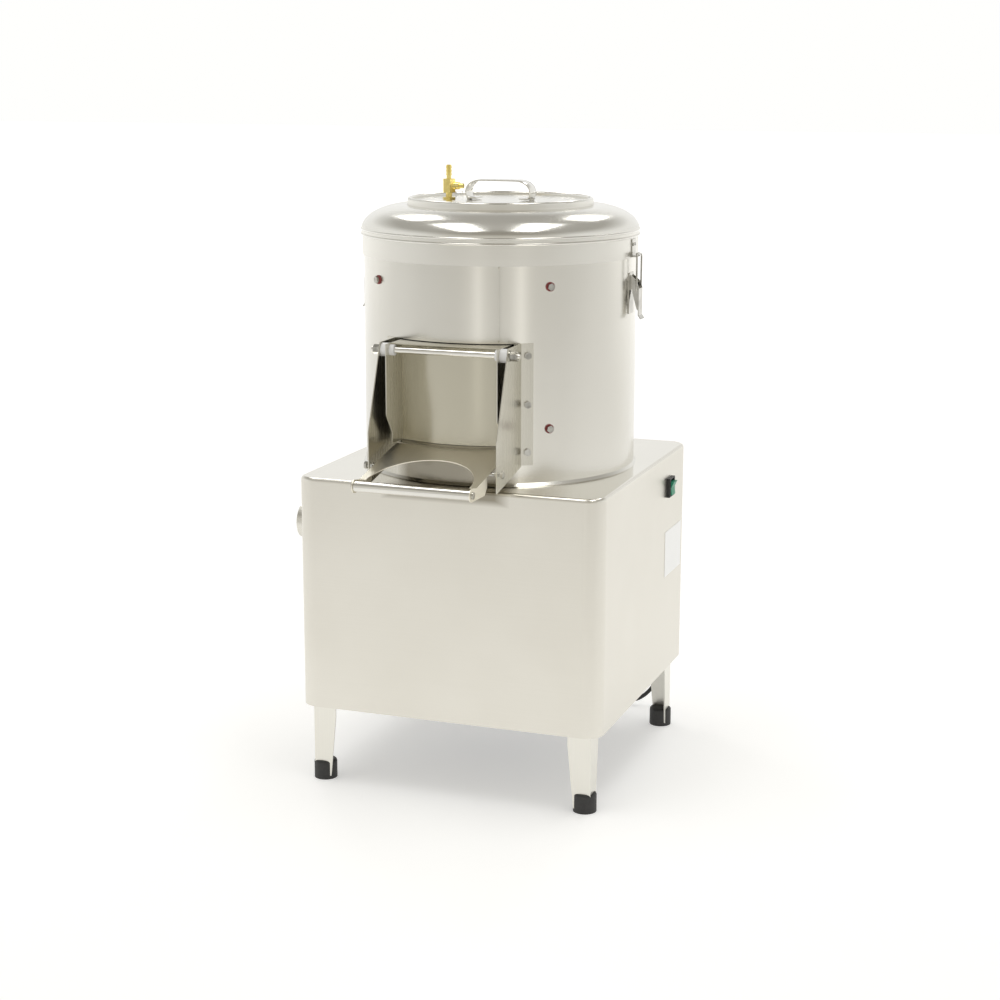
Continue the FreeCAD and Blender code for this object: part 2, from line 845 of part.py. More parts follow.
def motor_body():
    body_bottom = plate_top + motor_flange
    body = pillar(0, motor_y, motor_radius - motor_fin, body_bottom, motor_top)
    flange = pillar(0, motor_y, motor_flange_radius, plate_top, body_bottom)
    spigot = pillar(0, motor_y, motor_radius - sheet - fit, motor_top - motor_fin, motor_top)
    body = body.fuse(flange).fuse(spigot)
    fin_count = 24
    for k in range(fin_count):
        fin = box(0, motor_radius, -motor_fin / 2, motor_fin / 2, body_bottom + motor_fin, motor_top - motor_fin)
        fin = turned(fin, 360 * k / fin_count)
        fin.translate(Vec(0, motor_y, 0))
        body = body.fuse(fin)
    terminal = box(-motor_radius - 26, -motor_radius + motor_fin * 2, motor_y - 30, motor_y + 30,
                   body_bottom + 20, motor_top - 20)
    body = body.fuse(terminal)
    body = body.cut(pillar(0, motor_y, motor_shaft_radius + fit, plate_top, motor_top))
    for k in range(4):
        angle = math.radians(45 + 90 * k)
        x = motor_bolt_circle * math.cos(angle)
        y = motor_y + motor_bolt_circle * math.sin(angle)
        body = body.cut(pillar(x, y, m8_shank + fit, plate_top, body_bottom))
    return body


def motor_shaft():
    return pillar(0, motor_y, motor_shaft_radius, pulley_bottom - 2, motor_top + fan_length - 12)


def motor_fan():
    fan_bottom = motor_top + 4
    fan_top = fan_bottom + fan_length / 2
    fan = pillar(0, motor_y, motor_shaft_radius + 6, fan_bottom, fan_top)
    for k in range(6):
        blade = box(motor_shaft_radius, fan_radius, -1, 1, fan_bottom, fan_top)
        blade = turned(blade, 60 * k)
        blade.translate(Vec(0, motor_y, 0))
        fan = fan.fuse(blade)
    return fan.cut(pillar(0, motor_y, motor_shaft_radius + fit, fan_bottom, fan_top))


def fan_cover():
    top = motor_top + fan_length
    cover = pillar(0, motor_y, motor_radius, motor_top - motor_fin, top)
    cover = cover.cut(pillar(0, motor_y, motor_radius - sheet, motor_top - motor_fin, top - sheet))
    for k in range(12):
        slot = box(16, motor_radius - 12, -2, 2, top - 2 * sheet, top + 1)
        slot = turned(slot, 30 * k)
        slot.translate(Vec(0, motor_y, 0))
        cover = cover.cut(slot)
    return cover


# Discharge chute and door

def chute_cheek():
    outer = cheek_inner + sheet
    back = -drum_radius / 2
    points = [
        (back, cheek_top),
        (cheek_top_front, cheek_top),
        (cheek_knee_y, cheek_knee_z),
        (cheek_knee_y, cheek_bottom_front),
        (-math.sqrt(drum_radius ** 2 - cheek_inner ** 2), cheek_bottom_back),
        (back, cheek_bottom_back),
    ]
    plate = prism_x(points, cheek_inner, outer)
    flange = ring(drum_radius + sheet, drum_radius, cheek_flange_bottom, cheek_top)
    flange = flange.common(box(cheek_inner, cheek_flange_end, -cabinet_half, back, cheek_flange_bottom, cheek_top))
    cheek = plate.fuse(flange).cut(pillar(0, 0, drum_radius, cabinet_top, drum_top))
    cheek = cheek.cut(rod_x(pivot_y, pivot_z, pivot_thread + fit, 0, cabinet_half))
    cheek = cheek.cut(rod_x(stop_bolt_y, stop_bolt_z(), m6_shank + fit, 0, cabinet_half))
    for height in cheek_bolt_heights:
        cheek = cheek.cut(radial_rod(angle_at_front(cheek_bolt_x), height, m6_shank + fit))
    return cheek.removeSplitter()


def cheek_bolts():
    bolts = []
    for x in (-cheek_bolt_x, cheek_bolt_x):
        for height in cheek_bolt_heights:
            angle = math.radians(angle_at_front(x))
            out = Vec(math.cos(angle), math.sin(angle), 0)
            place = out * (drum_radius + sheet) + Vec(0, 0, height)
            bolts.append(hex_bolt(place, out, m6_flat, m6_head, m6_shank, 2 * sheet + m6_shank))
    return bolts


def pivot_rod():
    rod = rod_x(pivot_y, pivot_z, pivot_radius, -cheek_inner + fit, cheek_inner - fit)
    return rod.fuse(rod_x(pivot_y, pivot_z, pivot_thread, -pivot_end, pivot_end))


def pivot_nut():
    start = cheek_inner + sheet
    washer = rod_x(pivot_y, pivot_z, m8_flat + 2, start, start + sheet)
    nut = aimed(hexagon(m8_flat, 2 * m8_head), Vec(start + sheet, pivot_y, pivot_z), Vec(1, 0, 0))
    nut = nut.fuse(washer)
    return nut.cut(rod_x(pivot_y, pivot_z, pivot_thread + fit, start, pivot_end + 1))


def pivot_bushes():
    bore = rod_x(pivot_y, pivot_z, pivot_radius + fit, 0, cheek_inner)
    inner = rod_x(pivot_y, pivot_z, bush_inner_radius, arm_inner - bush_inner_length, arm_inner)
    barrel = rod_x(pivot_y, pivot_z, bush_barrel_radius, arm_inner, arm_outer)
    outer = rod_x(pivot_y, pivot_z, bush_outer_radius, arm_outer, cheek_inner - gap)
    return both_sides(inner.fuse(barrel).cut(bore)) + both_sides(outer.cut(bore))


def door_arm():
    rear = -math.sqrt(drum_radius ** 2 - arm_outer ** 2)
    points = [
        (rear, arm_top),
        (arm_front, arm_top),
        (arm_front, arm_slope_top),
        (arm_foot_y, arm_slope_bottom),
        (arm_foot_y, arm_bottom),
        (rear, arm_bottom),
    ]
    arm = prism_x(points, arm_inner, arm_outer)
    return arm.cut(rod_x(pivot_y, pivot_z, bush_barrel_radius + fit, 0, cheek_inner))


def door_panel():
    wall = ring(drum_radius, drum_inner, arm_bottom, arm_top)
    wall = wall.common(box(-arm_inner, arm_inner, -cabinet_half, -drum_radius / 2, arm_bottom, arm_top))
    hood = box(-arm_inner, arm_inner, pivot_y, -drum_radius / 2, arm_top - sheet, arm_top)
    hood = hood.cut(pillar(0, 0, drum_inner, arm_bottom, drum_top))
    return wall.fuse(hood).removeSplitter()


def tray_height(y):
    return tray_front_z + (y - tray_front_y) * math.tan(math.radians(tray_slope))


def stop_bolt_z():
    drop = sheet / math.cos(math.radians(tray_slope))
    reach = m6_shank / math.cos(math.radians(tray_slope))
    return tray_height(stop_bolt_y) - drop - reach - gap


def door_tray():
    thick = sheet / math.cos(math.radians(tray_slope))
    points = [
        (tray_back_y, tray_height(tray_back_y)),
        (tray_front_y, tray_front_z),
        (tray_front_y, tray_front_z - thick),
        (tray_back_y, tray_height(tray_back_y) - thick),
    ]
    tray = prism_x(points, -tray_half, tray_half)
    squash = FreeCAD.Matrix()
    squash.scale(1, tray_cut_depth / tray_cut_radius, 1)
    hand_hole = pillar(0, 0, tray_cut_radius, 0, cabinet_top + drum_radius).transformGeometry(squash)
    hand_hole.translate(Vec(0, tray_front_y, 0))
    tray = tray.cut(hand_hole)
    tray = tray.cut(pillar(0, 0, drum_radius + gap, cabinet_top, drum_top))
    for x0, x1 in ((-tray_half, -tray_half + sheet), (tray_half - sheet, tray_half)):
        side_points = [
            (tray_side_back, tray_height(tray_side_back) - thick),
            (tray_side_back, tray_side_bottom + nose_radius),
            (tray_side_back - nose_radius, tray_side_bottom),
            (bar_y, bar_z - nose_radius),
            (bar_y, bar_z + nose_radius),
            (tray_front_y, tray_front_z),
        ]
        side = prism_x(side_points, x0, x1)
        tray = tray.fuse(side).fuse(rod_x(bar_y, bar_z, nose_radius, x0, x1))
    tray = tray.cut(rod_x(bar_y, bar_z, m5_shank + fit, -tray_half, tray_half))
    return tray.removeSplitter()


def handle_bar():
    bar = rod_x(bar_y, bar_z, bar_radius, -bar_half, bar_half)
    for x0, x1 in ((-bar_half, -bar_half + 12), (bar_half - 12, bar_half)):
        bar = bar.cut(rod_x(bar_y, bar_z, m5_shank + fit, x0, x1))
    return bar


def handle_screw():
    place = Vec(tray_half, bar_y, bar_z)
    return pan_screw(place, Vec(1, 0, 0), m5_head_radius + 1, m5_head, m5_shank, 12)


def stop_bolt():
    place = Vec(cheek_inner + sheet + m6_head, stop_bolt_y, stop_bolt_z())
    length = place.x - stop_bolt_inner
    bolt = hex_bolt(place, Vec(1, 0, 0), m6_flat, m6_head, m6_shank, length)
    nut = aimed(hexagon(m6_flat, m6_head - fit), Vec(cheek_inner - m6_head, place.y, place.z), Vec(1, 0, 0))
    return bolt.fuse(nut)


# Lid, handle and water inlet

def dome_curve(inset):
    """Quarter ellipse of the dome, from its foot up to the platform."""
    across = lid_bead_radius - dome_centre_radius - inset
    up = dome_rise - inset
    centre = Vec(dome_centre_radius, 0, lid_bead_top)
    ellipse = Part.Ellipse(centre + Vec(across, 0, 0), centre + Vec(0, 0, up), centre)
    return Part.ArcOfEllipse(ellipse, 0, math.pi / 2).toShape(), centre, across, up


def lid_shell():
    outer_dome, centre, across, up = dome_curve(0)
    inner_dome, centre, inner_across, inner_up = dome_curve(sheet)
    cone_top = lid_skirt_bottom + lid_skirt_cone
    outer_points = [
        Vec(lid_radius - gap, 0, lid_skirt_bottom),
        Vec(lid_radius, 0, cone_top),
        Vec(lid_radius, 0, lid_bead_bottom),
        Vec(lid_bead_radius, 0, lid_bead_bottom + sheet),
        centre + Vec(across, 0, 0),
    ]
    dome_top = centre + Vec(0, 0, up)
    rim_out = platform_radius
    rim_in = platform_radius - platform_rim
    rim_middle = (rim_out + rim_in) / 2
    lower_rim = platform_top - platform_rim / 2
    platform = [
        line(dome_top, Vec(rim_out, 0, dome_top.z)),
        line(Vec(rim_out, 0, dome_top.z), Vec(rim_out, 0, lower_rim)),
        arc(Vec(rim_out, 0, lower_rim), Vec(rim_middle, 0, platform_top), Vec(rim_in, 0, lower_rim)),
        line(Vec(rim_in, 0, lower_rim), Vec(rim_in, 0, platform_floor)),
        line(Vec(rim_in, 0, platform_floor), Vec(0, 0, platform_floor)),
        line(Vec(0, 0, platform_floor), Vec(0, 0, platform_floor - sheet)),
    ]
    inner_top = centre + Vec(0, 0, inner_up)
    inner_side = lid_radius - sheet
    inner_points = [
        centre + Vec(inner_across, 0, 0),
        Vec(inner_side, 0, lid_bead_bottom + sheet),
        Vec(inner_side, 0, lid_skirt_bottom),
        Vec(lid_radius - gap, 0, lid_skirt_bottom),
    ]
    step = Vec(rim_in - sheet, 0, inner_top.z)
    inner_platform = [
        line(Vec(0, 0, platform_floor - sheet), Vec(step.x, 0, platform_floor - sheet)),
        line(Vec(step.x, 0, platform_floor - sheet), step),
        line(step, inner_top),
    ]
    edges = [line(a, b) for a, b in zip(outer_points, outer_points[1:])]
    edges += [outer_dome] + platform + inner_platform + [inner_dome]
    edges += [line(a, b) for a, b in zip(inner_points, inner_points[1:])]
    lid = revolved(Part.__sortEdges__(edges))
    lid = lid.cut(pillar(valve_x, valve_y, valve_pipe + fit, platform_floor - 2 * sheet, platform_top))
    for x, y in handle_rivet_places():
        lid = lid.cut(pillar(x, y, m5_shank + fit, platform_floor - 2 * sheet, platform_top))
    return lid


def lid_gasket():
    bottom = drum_top + gap
    outer = lid_radius - sheet - fit
    return ring(outer, outer - gasket_width, bottom, bottom + gasket_height)


def handle_rivet_places():
    x = handle_half - handle_foot / 2
    return [(side_x * x, side_y * handle_width / 4) for side_x in (-1, 1) for side_y in (-1, 1)]


def lid_handle():
    low = platform_floor + handle_sheet / 2
    high = handle_top - handle_sheet / 2
    rise_x = handle_half - handle_foot
    points = [
        Vec(-handle_half, 0, low),
        Vec(-rise_x, 0, low),
        Vec(-rise_x - 2, 0, (low + high) / 2),
        Vec(-handle_top_half, 0, high),
        Vec(handle_top_half, 0, high),
        Vec(rise_x + 2, 0, (low + high) / 2),
        Vec(rise_x, 0, low),
        Vec(handle_half, 0, low),
    ]
    radii = (4, 12, 8, 8, 12, 4)
    path = rounded_path(points, radii)
    half = handle_width / 2
    corners = [
        Vec(-handle_half, -half, platform_floor),
        Vec(-handle_half, half, platform_floor),
        Vec(-handle_half, half, platform_floor + handle_sheet),
        Vec(-handle_half, -half, platform_floor + handle_sheet),
    ]
    strap = swept(path, Part.makePolygon(corners + corners[:1]))
    for x, y in handle_rivet_places():
        strap = strap.cut(pillar(x, y, m5_shank + fit, platform_floor, platform_floor + 2 * handle_sheet))
    return strap


def lid_rivets():
    rivets = []
    top = platform_floor + handle_sheet
    length = handle_sheet + 2 * sheet
    for x, y in handle_rivet_places():
        rivets.append(pan_screw(Vec(x, y, top), Vec(0, 0, 1), rivet_radius, rivet_head, m5_shank, length))
    for angle in latch_angles:
        for side in (-1, 1):
            place = Vec(lid_radius + sheet, side * keeper_half / 2, keeper_rivet_z())
            rivet = pan_screw(place, Vec(1, 0, 0), m5_shank, rivet_head, m5_shank / 2, sheet)
            rivet = rivet.cut(pillar(0, 0, lid_radius + fit, lid_skirt_bottom, lid_bead_top))
            rivets.append(turned(rivet, angle))
    return rivets


def keeper_rivet_z():
    return (keeper_lip + keeper_top) / 2 + m5_shank


def valve_body():
    pipe_bottom = platform_floor - nozzle_length + nozzle_face
    body = pillar(valve_x, valve_y, valve_pipe, pipe_bottom, valve_body_bottom)
    hexed = hexagon(valve_body_flat, valve_body_top - valve_body_bottom)
    hexed.translate(Vec(valve_x, valve_y, valve_body_bottom))
    nut = hexagon(valve_body_flat, valve_nut)
    nut.translate(Vec(valve_x, valve_y, platform_floor))
    body = body.fuse(hexed).fuse(nut)
    barb_start = valve_body_top
    barb_count = 3
    pitch = (barb_top - barb_start) / (barb_count + 1)
    body = body.fuse(pillar(valve_x, valve_y, barb_radius - 1, barb_start, barb_top))
    for k in range(barb_count):
        ridge = Part.makeCone(barb_radius, barb_radius - 1, pitch, Vec(valve_x, valve_y, barb_start + pitch * (k + 1)))
        body = body.fuse(ridge)
    body = body.fuse(rod_x(valve_y, valve_stem_z, valve_boss_radius, valve_x, valve_boss_end))
    body = body.cut(rod_x(valve_y, valve_stem_z, valve_stem_radius + fit, valve_x, valve_boss_end))
    body = body.cut(pillar(valve_x, valve_y, barb_bore, pipe_bottom, barb_top))
    return body.removeSplitter()


def valve_stem():
    stem = rod_x(valve_y, valve_stem_z, valve_stem_radius, valve_x + barb_bore, valve_stem_end)
    slot = box(valve_stem_end - 2, valve_stem_end, valve_y - 1, valve_y + 1,
               valve_stem_z - valve_stem_radius, valve_stem_z + valve_stem_radius)
    return stem.cut(slot)


def spray_nozzle():
    top = platform_floor - sheet
    body = pillar(valve_x, valve_y, nozzle_radius, top - nozzle_length, top)
    body = body.cut(pillar(valve_x, valve_y, valve_pipe + fit, top - nozzle_length + nozzle_face, top))
    for k in range(6):
        hole = turned(pillar(nozzle_radius / 2, 0, 1, top - nozzle_length, top - nozzle_length + nozzle_face), 60 * k)
        hole.translate(Vec(valve_x, valve_y, 0))
        body = body.cut(hole)
    return body


# Toggle latches, built on the +X side of the drum and turned to their places

def latch_base():
    plate = ring(drum_radius + sheet, drum_radius, latch_base_bottom, latch_base_top)
    plate = plate.common(box(0, cabinet_half, -latch_half, latch_half, latch_base_bottom, latch_base_top))
    inner = latch_ear_outer - latch_ear_sheet
    ear_points = [
        (drum_radius, latch_pin_z - 14),
        (latch_pin_x + 3, latch_pin_z - 4),
        (latch_pin_x + 3, latch_pin_z + 3),
        (drum_radius, latch_pin_z + 13),
    ]
    base = plate
    for y0, y1 in ((inner, latch_ear_outer), (-latch_ear_outer, -inner)):
        ear = prism_y(ear_points, y0, y1).cut(pillar(0, 0, drum_radius, latch_base_bottom, latch_base_top))
        base = base.fuse(ear)
    pin = rod_y(latch_pin_x, latch_pin_z, latch_pin_radius, -lever_half, lever_half)
    return base.fuse(pin).removeSplitter()


def latch_lever():
    flange_points = [
        (latch_pin_x - lever_tip + 1, latch_pin_z),
        (latch_pin_x, latch_pin_z + lever_tip - 1),
        (latch_pin_x + lever_tip - 1, latch_pin_z + 1),
        (lever_outer, lever_web_top),
        (lever_outer, lever_bottom + 14),
        (lever_outer - 3, lever_bottom + 14),
        (latch_pin_x - lever_tip + 2, latch_pin_z - 16),
    ]
    lever = box(lever_outer - sheet, lever_outer, -lever_half, lever_half, lever_bottom + 6, lever_web_top)
    inner = lever_half - sheet
    for y0, y1 in ((inner, lever_half), (-lever_half, -inner)):
        lever = lever.fuse(prism_y(flange_points, y0, y1))
    tip_points = [
        (lever_outer - sheet, lever_bottom + 6),
        (lever_outer, lever_bottom + 6),
        (lever_outer + 4, lever_bottom),
        (lever_outer + 4 - sheet, lever_bottom),
    ]
    lever = lever.fuse(prism_y(tip_points, -lever_half, lever_half))
    lever = lever.cut(rod_y(latch_pin_x, latch_pin_z, latch_pin_radius + fit, -lever_half, lever_half))
    lever = lever.cut(rod_y(bail_x, bail_pivot_z, bail_radius + fit, -lever_half, lever_half))
    return lever.removeSplitter()


def latch_bail():
    ends = lever_half - sheet
    points = [
        Vec(bail_x, ends, bail_pivot_z),
        Vec(bail_x, bail_half, bail_pivot_z),
        Vec(bail_x, bail_half, bail_top),
        Vec(bail_x, -bail_half, bail_top),
        Vec(bail_x, -bail_half, bail_pivot_z),
        Vec(bail_x, -ends, bail_pivot_z),
    ]
    return tube_along(points, (bail_bend, bail_crown_bend, bail_crown_bend, bail_bend), bail_radius)


def latch_keeper():
    plate = ring(lid_radius + sheet, lid_radius, keeper_bottom + sheet, keeper_top)
    plate = plate.common(box(0, cabinet_half, -keeper_half, keeper_half, keeper_bottom, keeper_top))
    lip_outer = bail_x - bail_radius - gap
    floor = box(lid_radius - 2, lip_outer, -keeper_half, keeper_half, keeper_bottom, keeper_bottom + sheet)
    lip = box(lip_outer - sheet, lip_outer, -keeper_half, keeper_half, keeper_bottom, keeper_lip)
    keeper = plate.fuse(floor).fuse(lip).cut(pillar(0, 0, lid_radius, lid_skirt_bottom, lid_bead_top))
    for side in (-1, 1):
        hole = rod_x(side * keeper_half / 2, keeper_rivet_z(), m5_shank / 2 + fit, lid_radius, cabinet_half)
        keeper = keeper.cut(hole)
    return keeper.removeSplitter()


def at_latches(shape):
    return [turned(shape, angle) for angle in latch_angles]


# Switch, rating plate and mains cord

def switch_body(extra):
    half_y = bezel_half_y - bezel_frame / 2 + extra
    half_z = bezel_half_z - bezel_frame / 2 + extra
    return box(cabinet_half - switch_back, cabinet_half, switch_y - half_y, switch_y + half_y,
               switch_z - half_z, switch_z + half_z)


def switch_bezel():
    face = box(cabinet_half, cabinet_half + bezel_depth, switch_y - bezel_half_y, switch_y + bezel_half_y,
               switch_z - bezel_half_z, switch_z + bezel_half_z)
    rim = [e for e in face.Edges if e.BoundBox.XMin > cabinet_half + bezel_depth - 0.01]
    bezel = face.makeFillet(sheet, rim).fuse(switch_body(0))
    well_y = rocker_half_y + gap
    well_z = bezel_half_z - sheet - gap
    well = box(rocker_back - 2, cabinet_half + bezel_depth, switch_y - well_y, switch_y + well_y,
               switch_z - well_z, switch_z + well_z)
    return bezel.cut(well).removeSplitter()


def switch_rocker():
    points = [
        (rocker_back, switch_z - rocker_half_z + 3),
        (rocker_face, switch_z - rocker_half_z),
        (rocker_waist, switch_z),
        (rocker_face, switch_z + rocker_half_z),
        (rocker_back, switch_z + rocker_half_z - 3),
    ]
    rocker = prism_y(points, switch_y - rocker_half_y, switch_y + rocker_half_y)
    rocker.rotate(Vec(rocker_pivot_x, switch_y, switch_z), Vec(0, 1, 0), rocker_tilt)
    return rocker


def rating_plate():
    return box(cabinet_half, cabinet_half + plate_thick, plate_y - plate_half_y, plate_y + plate_half_y,
               plate_z - plate_half_z, plate_z + plate_half_z)


def cable_gland():
    nut = aimed(hexagon(gland_hex, gland_hex_length), Vec(gland_x, cabinet_half, gland_z), Vec(0, 1, 0))
    end = cabinet_half + gland_length
    dome = rod_y(gland_x, gland_z, gland_dome_radius, cabinet_half, end)
    rim = [e for e in dome.Edges if e.BoundBox.YMin > end - 0.01 and e.Curve.TypeId == "Part::GeomCircle"]
    dome = dome.makeFillet(gland_dome_radius - cord_radius - 1.5, rim)
    thread = rod_y(gland_x, gland_z, gland_dome_radius - fit, cabinet_inner - gland_hex_length, cabinet_half)
    return nut.fuse(dome).fuse(thread).removeSplitter()


def coil_path():
    """Half turns spiralling in along the floor, one climbing half turn, and half turns back out."""
    step = coil_step / 2
    edges = []
    points = []
    place = Vec(coil_x + coil_outer, coil_y, cord_radius)
    side = -1
    radius = coil_outer
    turns = [(-step, 0.0)] * coil_half_turns + [(step, coil_climb)] + [(step, 0.0)] * coil_half_turns
    for change, climb in turns:
        chord = Vec(2 * radius * side, 0, climb)
        reach = chord.Length / 2
        end = place + chord
        middle = place + chord * 0.5 + Vec(0, -side * reach, 0)
        edges.append(arc(place, middle, end))
        points.append((place, middle, end))
        place = end
        side = -side
        radius = radius + change
    lead = 2 * cord_radius
    start = points[0][0]
    lead_in = start + Vec(0, -lead, 0)
    out_direction = Vec(0, side, 0) * -1
    lead_out = place + out_direction * lead
    edges = [line(lead_in, start)] + edges + [line(place, lead_out)]
    return Part.Wire(edges), lead_in, lead_out


def cord_coil():
    path, lead_in, lead_out = coil_path()
    return swept(path, round_section(lead_in, Vec(0, 1, 0), cord_radius))


coil_ends = coil_path()[1:]

# The free stretch of the cord, from the gland down behind the rear leg to the coil
gland_tip = Vec(gland_x, cabinet_half + gland_length, gland_z)
cord_points = [
    gland_tip,
    Vec(205, 292, 165),
    Vec(206, 310, 140),
    Vec(203, 314, 92),
    Vec(190, 304, 46),
    Vec(166, 299, 16),
    Vec(132, 300, 3.9),
    Vec(98, 304, 3.5),
    coil_ends[0] + Vec(0, -22, 0),
    coil_ends[0],
]

# The tail from the coil to the plug
plug_tip = Vec(-84, 292, plug_radius)
tail_points = [
    coil_ends[1],
    coil_ends[1] + Vec(0, -20, 0),
    coil_ends[1] + Vec(-8, -40, 3),
    plug_tip + Vec(24, 0, 0),
    plug_tip,
]


def cord_radii(points):
    """Arc radii of 0.45 of the shorter run over the tangent of half the turn."""
    radii = []
    for before, corner, after in zip(points, points[1:], points[2:]):
        run = min((corner - before).Length, (after - corner).Length)
        turn = (corner - before).getAngle(after - corner)
        radii.append(0.45 * run / math.tan(turn / 2))
    return radii


def power_cord():
    stretches = []
    for points in (cord_points, tail_points):
        radii = cord_radii(points)
        tube = tube_along(points, radii, cord_radius)
        length = rounded_path(points, radii).Length
        print("cord radii", [round(r, 1) for r in radii], "length", round(length, 1),
              "volume ratio", round(tube.Volume / (math.pi * cord_radius ** 2 * length), 5))
        stretches.append(tube)
    return stretches


def plug_direction():
    return (tail_points[-1] - tail_points[-2]).normalize()


def power_plug():
    neck = Part.makeCone(cord_radius + 2, plug_neck_radius + 3, plug_neck_length)
    body = pillar(0, 0, plug_radius, plug_neck_length, plug_neck_length + plug_length)
    rim = [e for e in body.Edges if e.Curve.TypeId == "Part::GeomCircle" and e.BoundBox.ZMax < plug_neck_length + 1]
    body = body.makeFillet(plug_neck_radius, rim)
    plug = neck.fuse(body)
    flat = plug_direction()
    return aimed(plug, plug_tip, Vec(flat.x, flat.y, 0))


def plug_pins():
    direction = plug_direction()
    direction = Vec(direction.x, direction.y, 0).normalize()
    across = Vec(-direction.y, direction.x, 0)
    start = plug_tip + direction * (plug_neck_length + plug_length)
    pins = []
    for side in (-0.5, 0.5):
        pin = pillar(0, 0, plug_pin_radius, 0, plug_pin_length)
        pins.append(aimed(pin, start + across * (side * plug_pin_spacing), direction))
    return pins


def coil_gap(tube_path):
    """The least gap of the coil to itself, measured on points along its path."""
    points = tube_path.discretize(Distance=2.0)
    spacing = tube_path.Length / (len(points) - 1)
    skip = int(12 * cord_radius / spacing)
    least = min(a.distanceToPoint(b) for i, a in enumerate(points) for b in points[i + skip:])
    return least - 2 * cord_radius


def save(name, solids):
    if not isinstance(solids, list):
        solids = [solids]
    shape = solids[0] if len(solids) == 1 else Part.makeCompound(solids)
    shape = shape.copy()
    shape.translate(-origin)
    for solid in shape.Solids:
        if not solid.isValid() or solid.Volume <= 0:
            print("check", name, "valid", solid.isValid(), "volume", solid.Volume)
    print(name, len(shape.Solids), round(shape.Volume))
    shape.exportStep("parts/" + name + ".step")


def main():
    os.makedirs("parts", exist_ok=True)
    save("cabinet_shell", cabinet_shell())
    save("base_frame", base_frame())
    save("legs", legs())
    save("rubber_feet", at_corners(foot()))
    save("frame_bolts", frame_bolts())
    save("drum_shell", drum_shell())
    save("drum_floor", drum_floor())
    save("abrasive_liners", abrasive_liners())
    save("liner_screws", liner_screws())
    save("liner_washers", liner_washers())
    save("drain_pipe", drain_pipe())
    save("drain_grommet", drain_grommet())
    save("bearing_housing", bearing_housing())
    save("shaft_bearings", shaft_bearings())
    save("shaft_seal", shaft_seal())
    save("main_shaft", main_shaft())
    save("peeling_disc", peeling_disc())
    save("disc_nut", disc_nut())
    save("drive_pulley", drive_pulley())
    save("drive_belt", drive_belt())
    save("motor_pulley", motor_pulley())
    save("motor_body", motor_body())
    save("motor_shaft", motor_shaft())
    save("motor_fan", motor_fan())
    save("fan_cover", fan_cover())
    save("motor_plate", motor_plate())
    save("cheek_right", chute_cheek())
    save("cheek_left", mirrored(chute_cheek()))
    save("cheek_bolts", cheek_bolts())
    save("pivot_rod", pivot_rod())
    save("pivot_nuts", both_sides(pivot_nut()))
    save("pivot_bushes", pivot_bushes())
    save("door_panel", door_panel())
    save("door_arms", both_sides(door_arm()))
    save("door_tray", door_tray())
    save("handle_bar", handle_bar())
    save("handle_screws", both_sides(handle_screw()))
    save("stop_bolts", both_sides(stop_bolt()))
    save("lid_shell", lid_shell())
    save("lid_gasket", lid_gasket())
    save("lid_handle", lid_handle())
    save("lid_rivets", lid_rivets())
    save("valve_body", valve_body())
    save("valve_stem", valve_stem())
    save("spray_nozzle", spray_nozzle())
    save("latch_bases", at_latches(latch_base()))
    save("latch_keepers", at_latches(latch_keeper()))
    for side, lever, bail in zip(("right", "left"), at_latches(latch_lever()), at_latches(latch_bail())):
        save("latch_lever_" + side, lever)
        save("latch_bail_" + side, bail)
    save("switch_bezel", switch_bezel())
    save("switch_rocker", switch_rocker())
    save("rating_plate", rating_plate())
    save("cable_gland", cable_gland())
    save("cord_coil", cord_coil())
    save("power_cord", power_cord())
    save("power_plug", power_plug())
    save("plug_pins", plug_pins())
    path = coil_path()[0]
    print("coil length", round(path.Length, 1), "least gap", round(coil_gap(path), 2))


main()
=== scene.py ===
import math

import bmesh
import bpy
from mathutils import Matrix, Vector


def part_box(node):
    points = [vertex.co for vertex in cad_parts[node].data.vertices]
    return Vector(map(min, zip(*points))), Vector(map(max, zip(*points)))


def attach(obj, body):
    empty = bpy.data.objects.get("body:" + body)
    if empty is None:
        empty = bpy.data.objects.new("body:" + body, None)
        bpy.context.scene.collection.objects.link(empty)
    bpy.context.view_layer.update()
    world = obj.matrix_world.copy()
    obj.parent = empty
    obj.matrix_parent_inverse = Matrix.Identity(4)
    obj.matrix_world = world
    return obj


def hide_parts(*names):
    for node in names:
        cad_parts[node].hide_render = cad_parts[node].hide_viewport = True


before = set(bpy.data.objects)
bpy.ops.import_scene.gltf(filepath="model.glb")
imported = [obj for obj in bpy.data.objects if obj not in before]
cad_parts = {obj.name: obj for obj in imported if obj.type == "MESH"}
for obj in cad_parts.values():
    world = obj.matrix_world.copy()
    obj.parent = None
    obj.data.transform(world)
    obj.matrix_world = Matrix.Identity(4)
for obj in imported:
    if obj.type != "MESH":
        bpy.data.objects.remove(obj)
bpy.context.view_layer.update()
print("frame loaded:", len(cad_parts), "nodes")

mm = 0.001
drumLow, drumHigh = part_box("drum_shell")
axisX = (drumLow[0] + drumHigh[0]) / 2
axisY = (drumLow[1] + drumHigh[1]) / 2


def at(x, y, z):  # millimetres from the drum's axis on the floor, to the frame's metres
    return Vector((axisX + x * mm, axisY + y * mm, z * mm))


# camera, where the photograph was taken from

view = {"place": (1072.5, -2965.9, 1132.3), "turn": 0.347, "dip": 0.2191, "roll": 0.0018,
        "lens": 70.78, "sensor": 36.0}


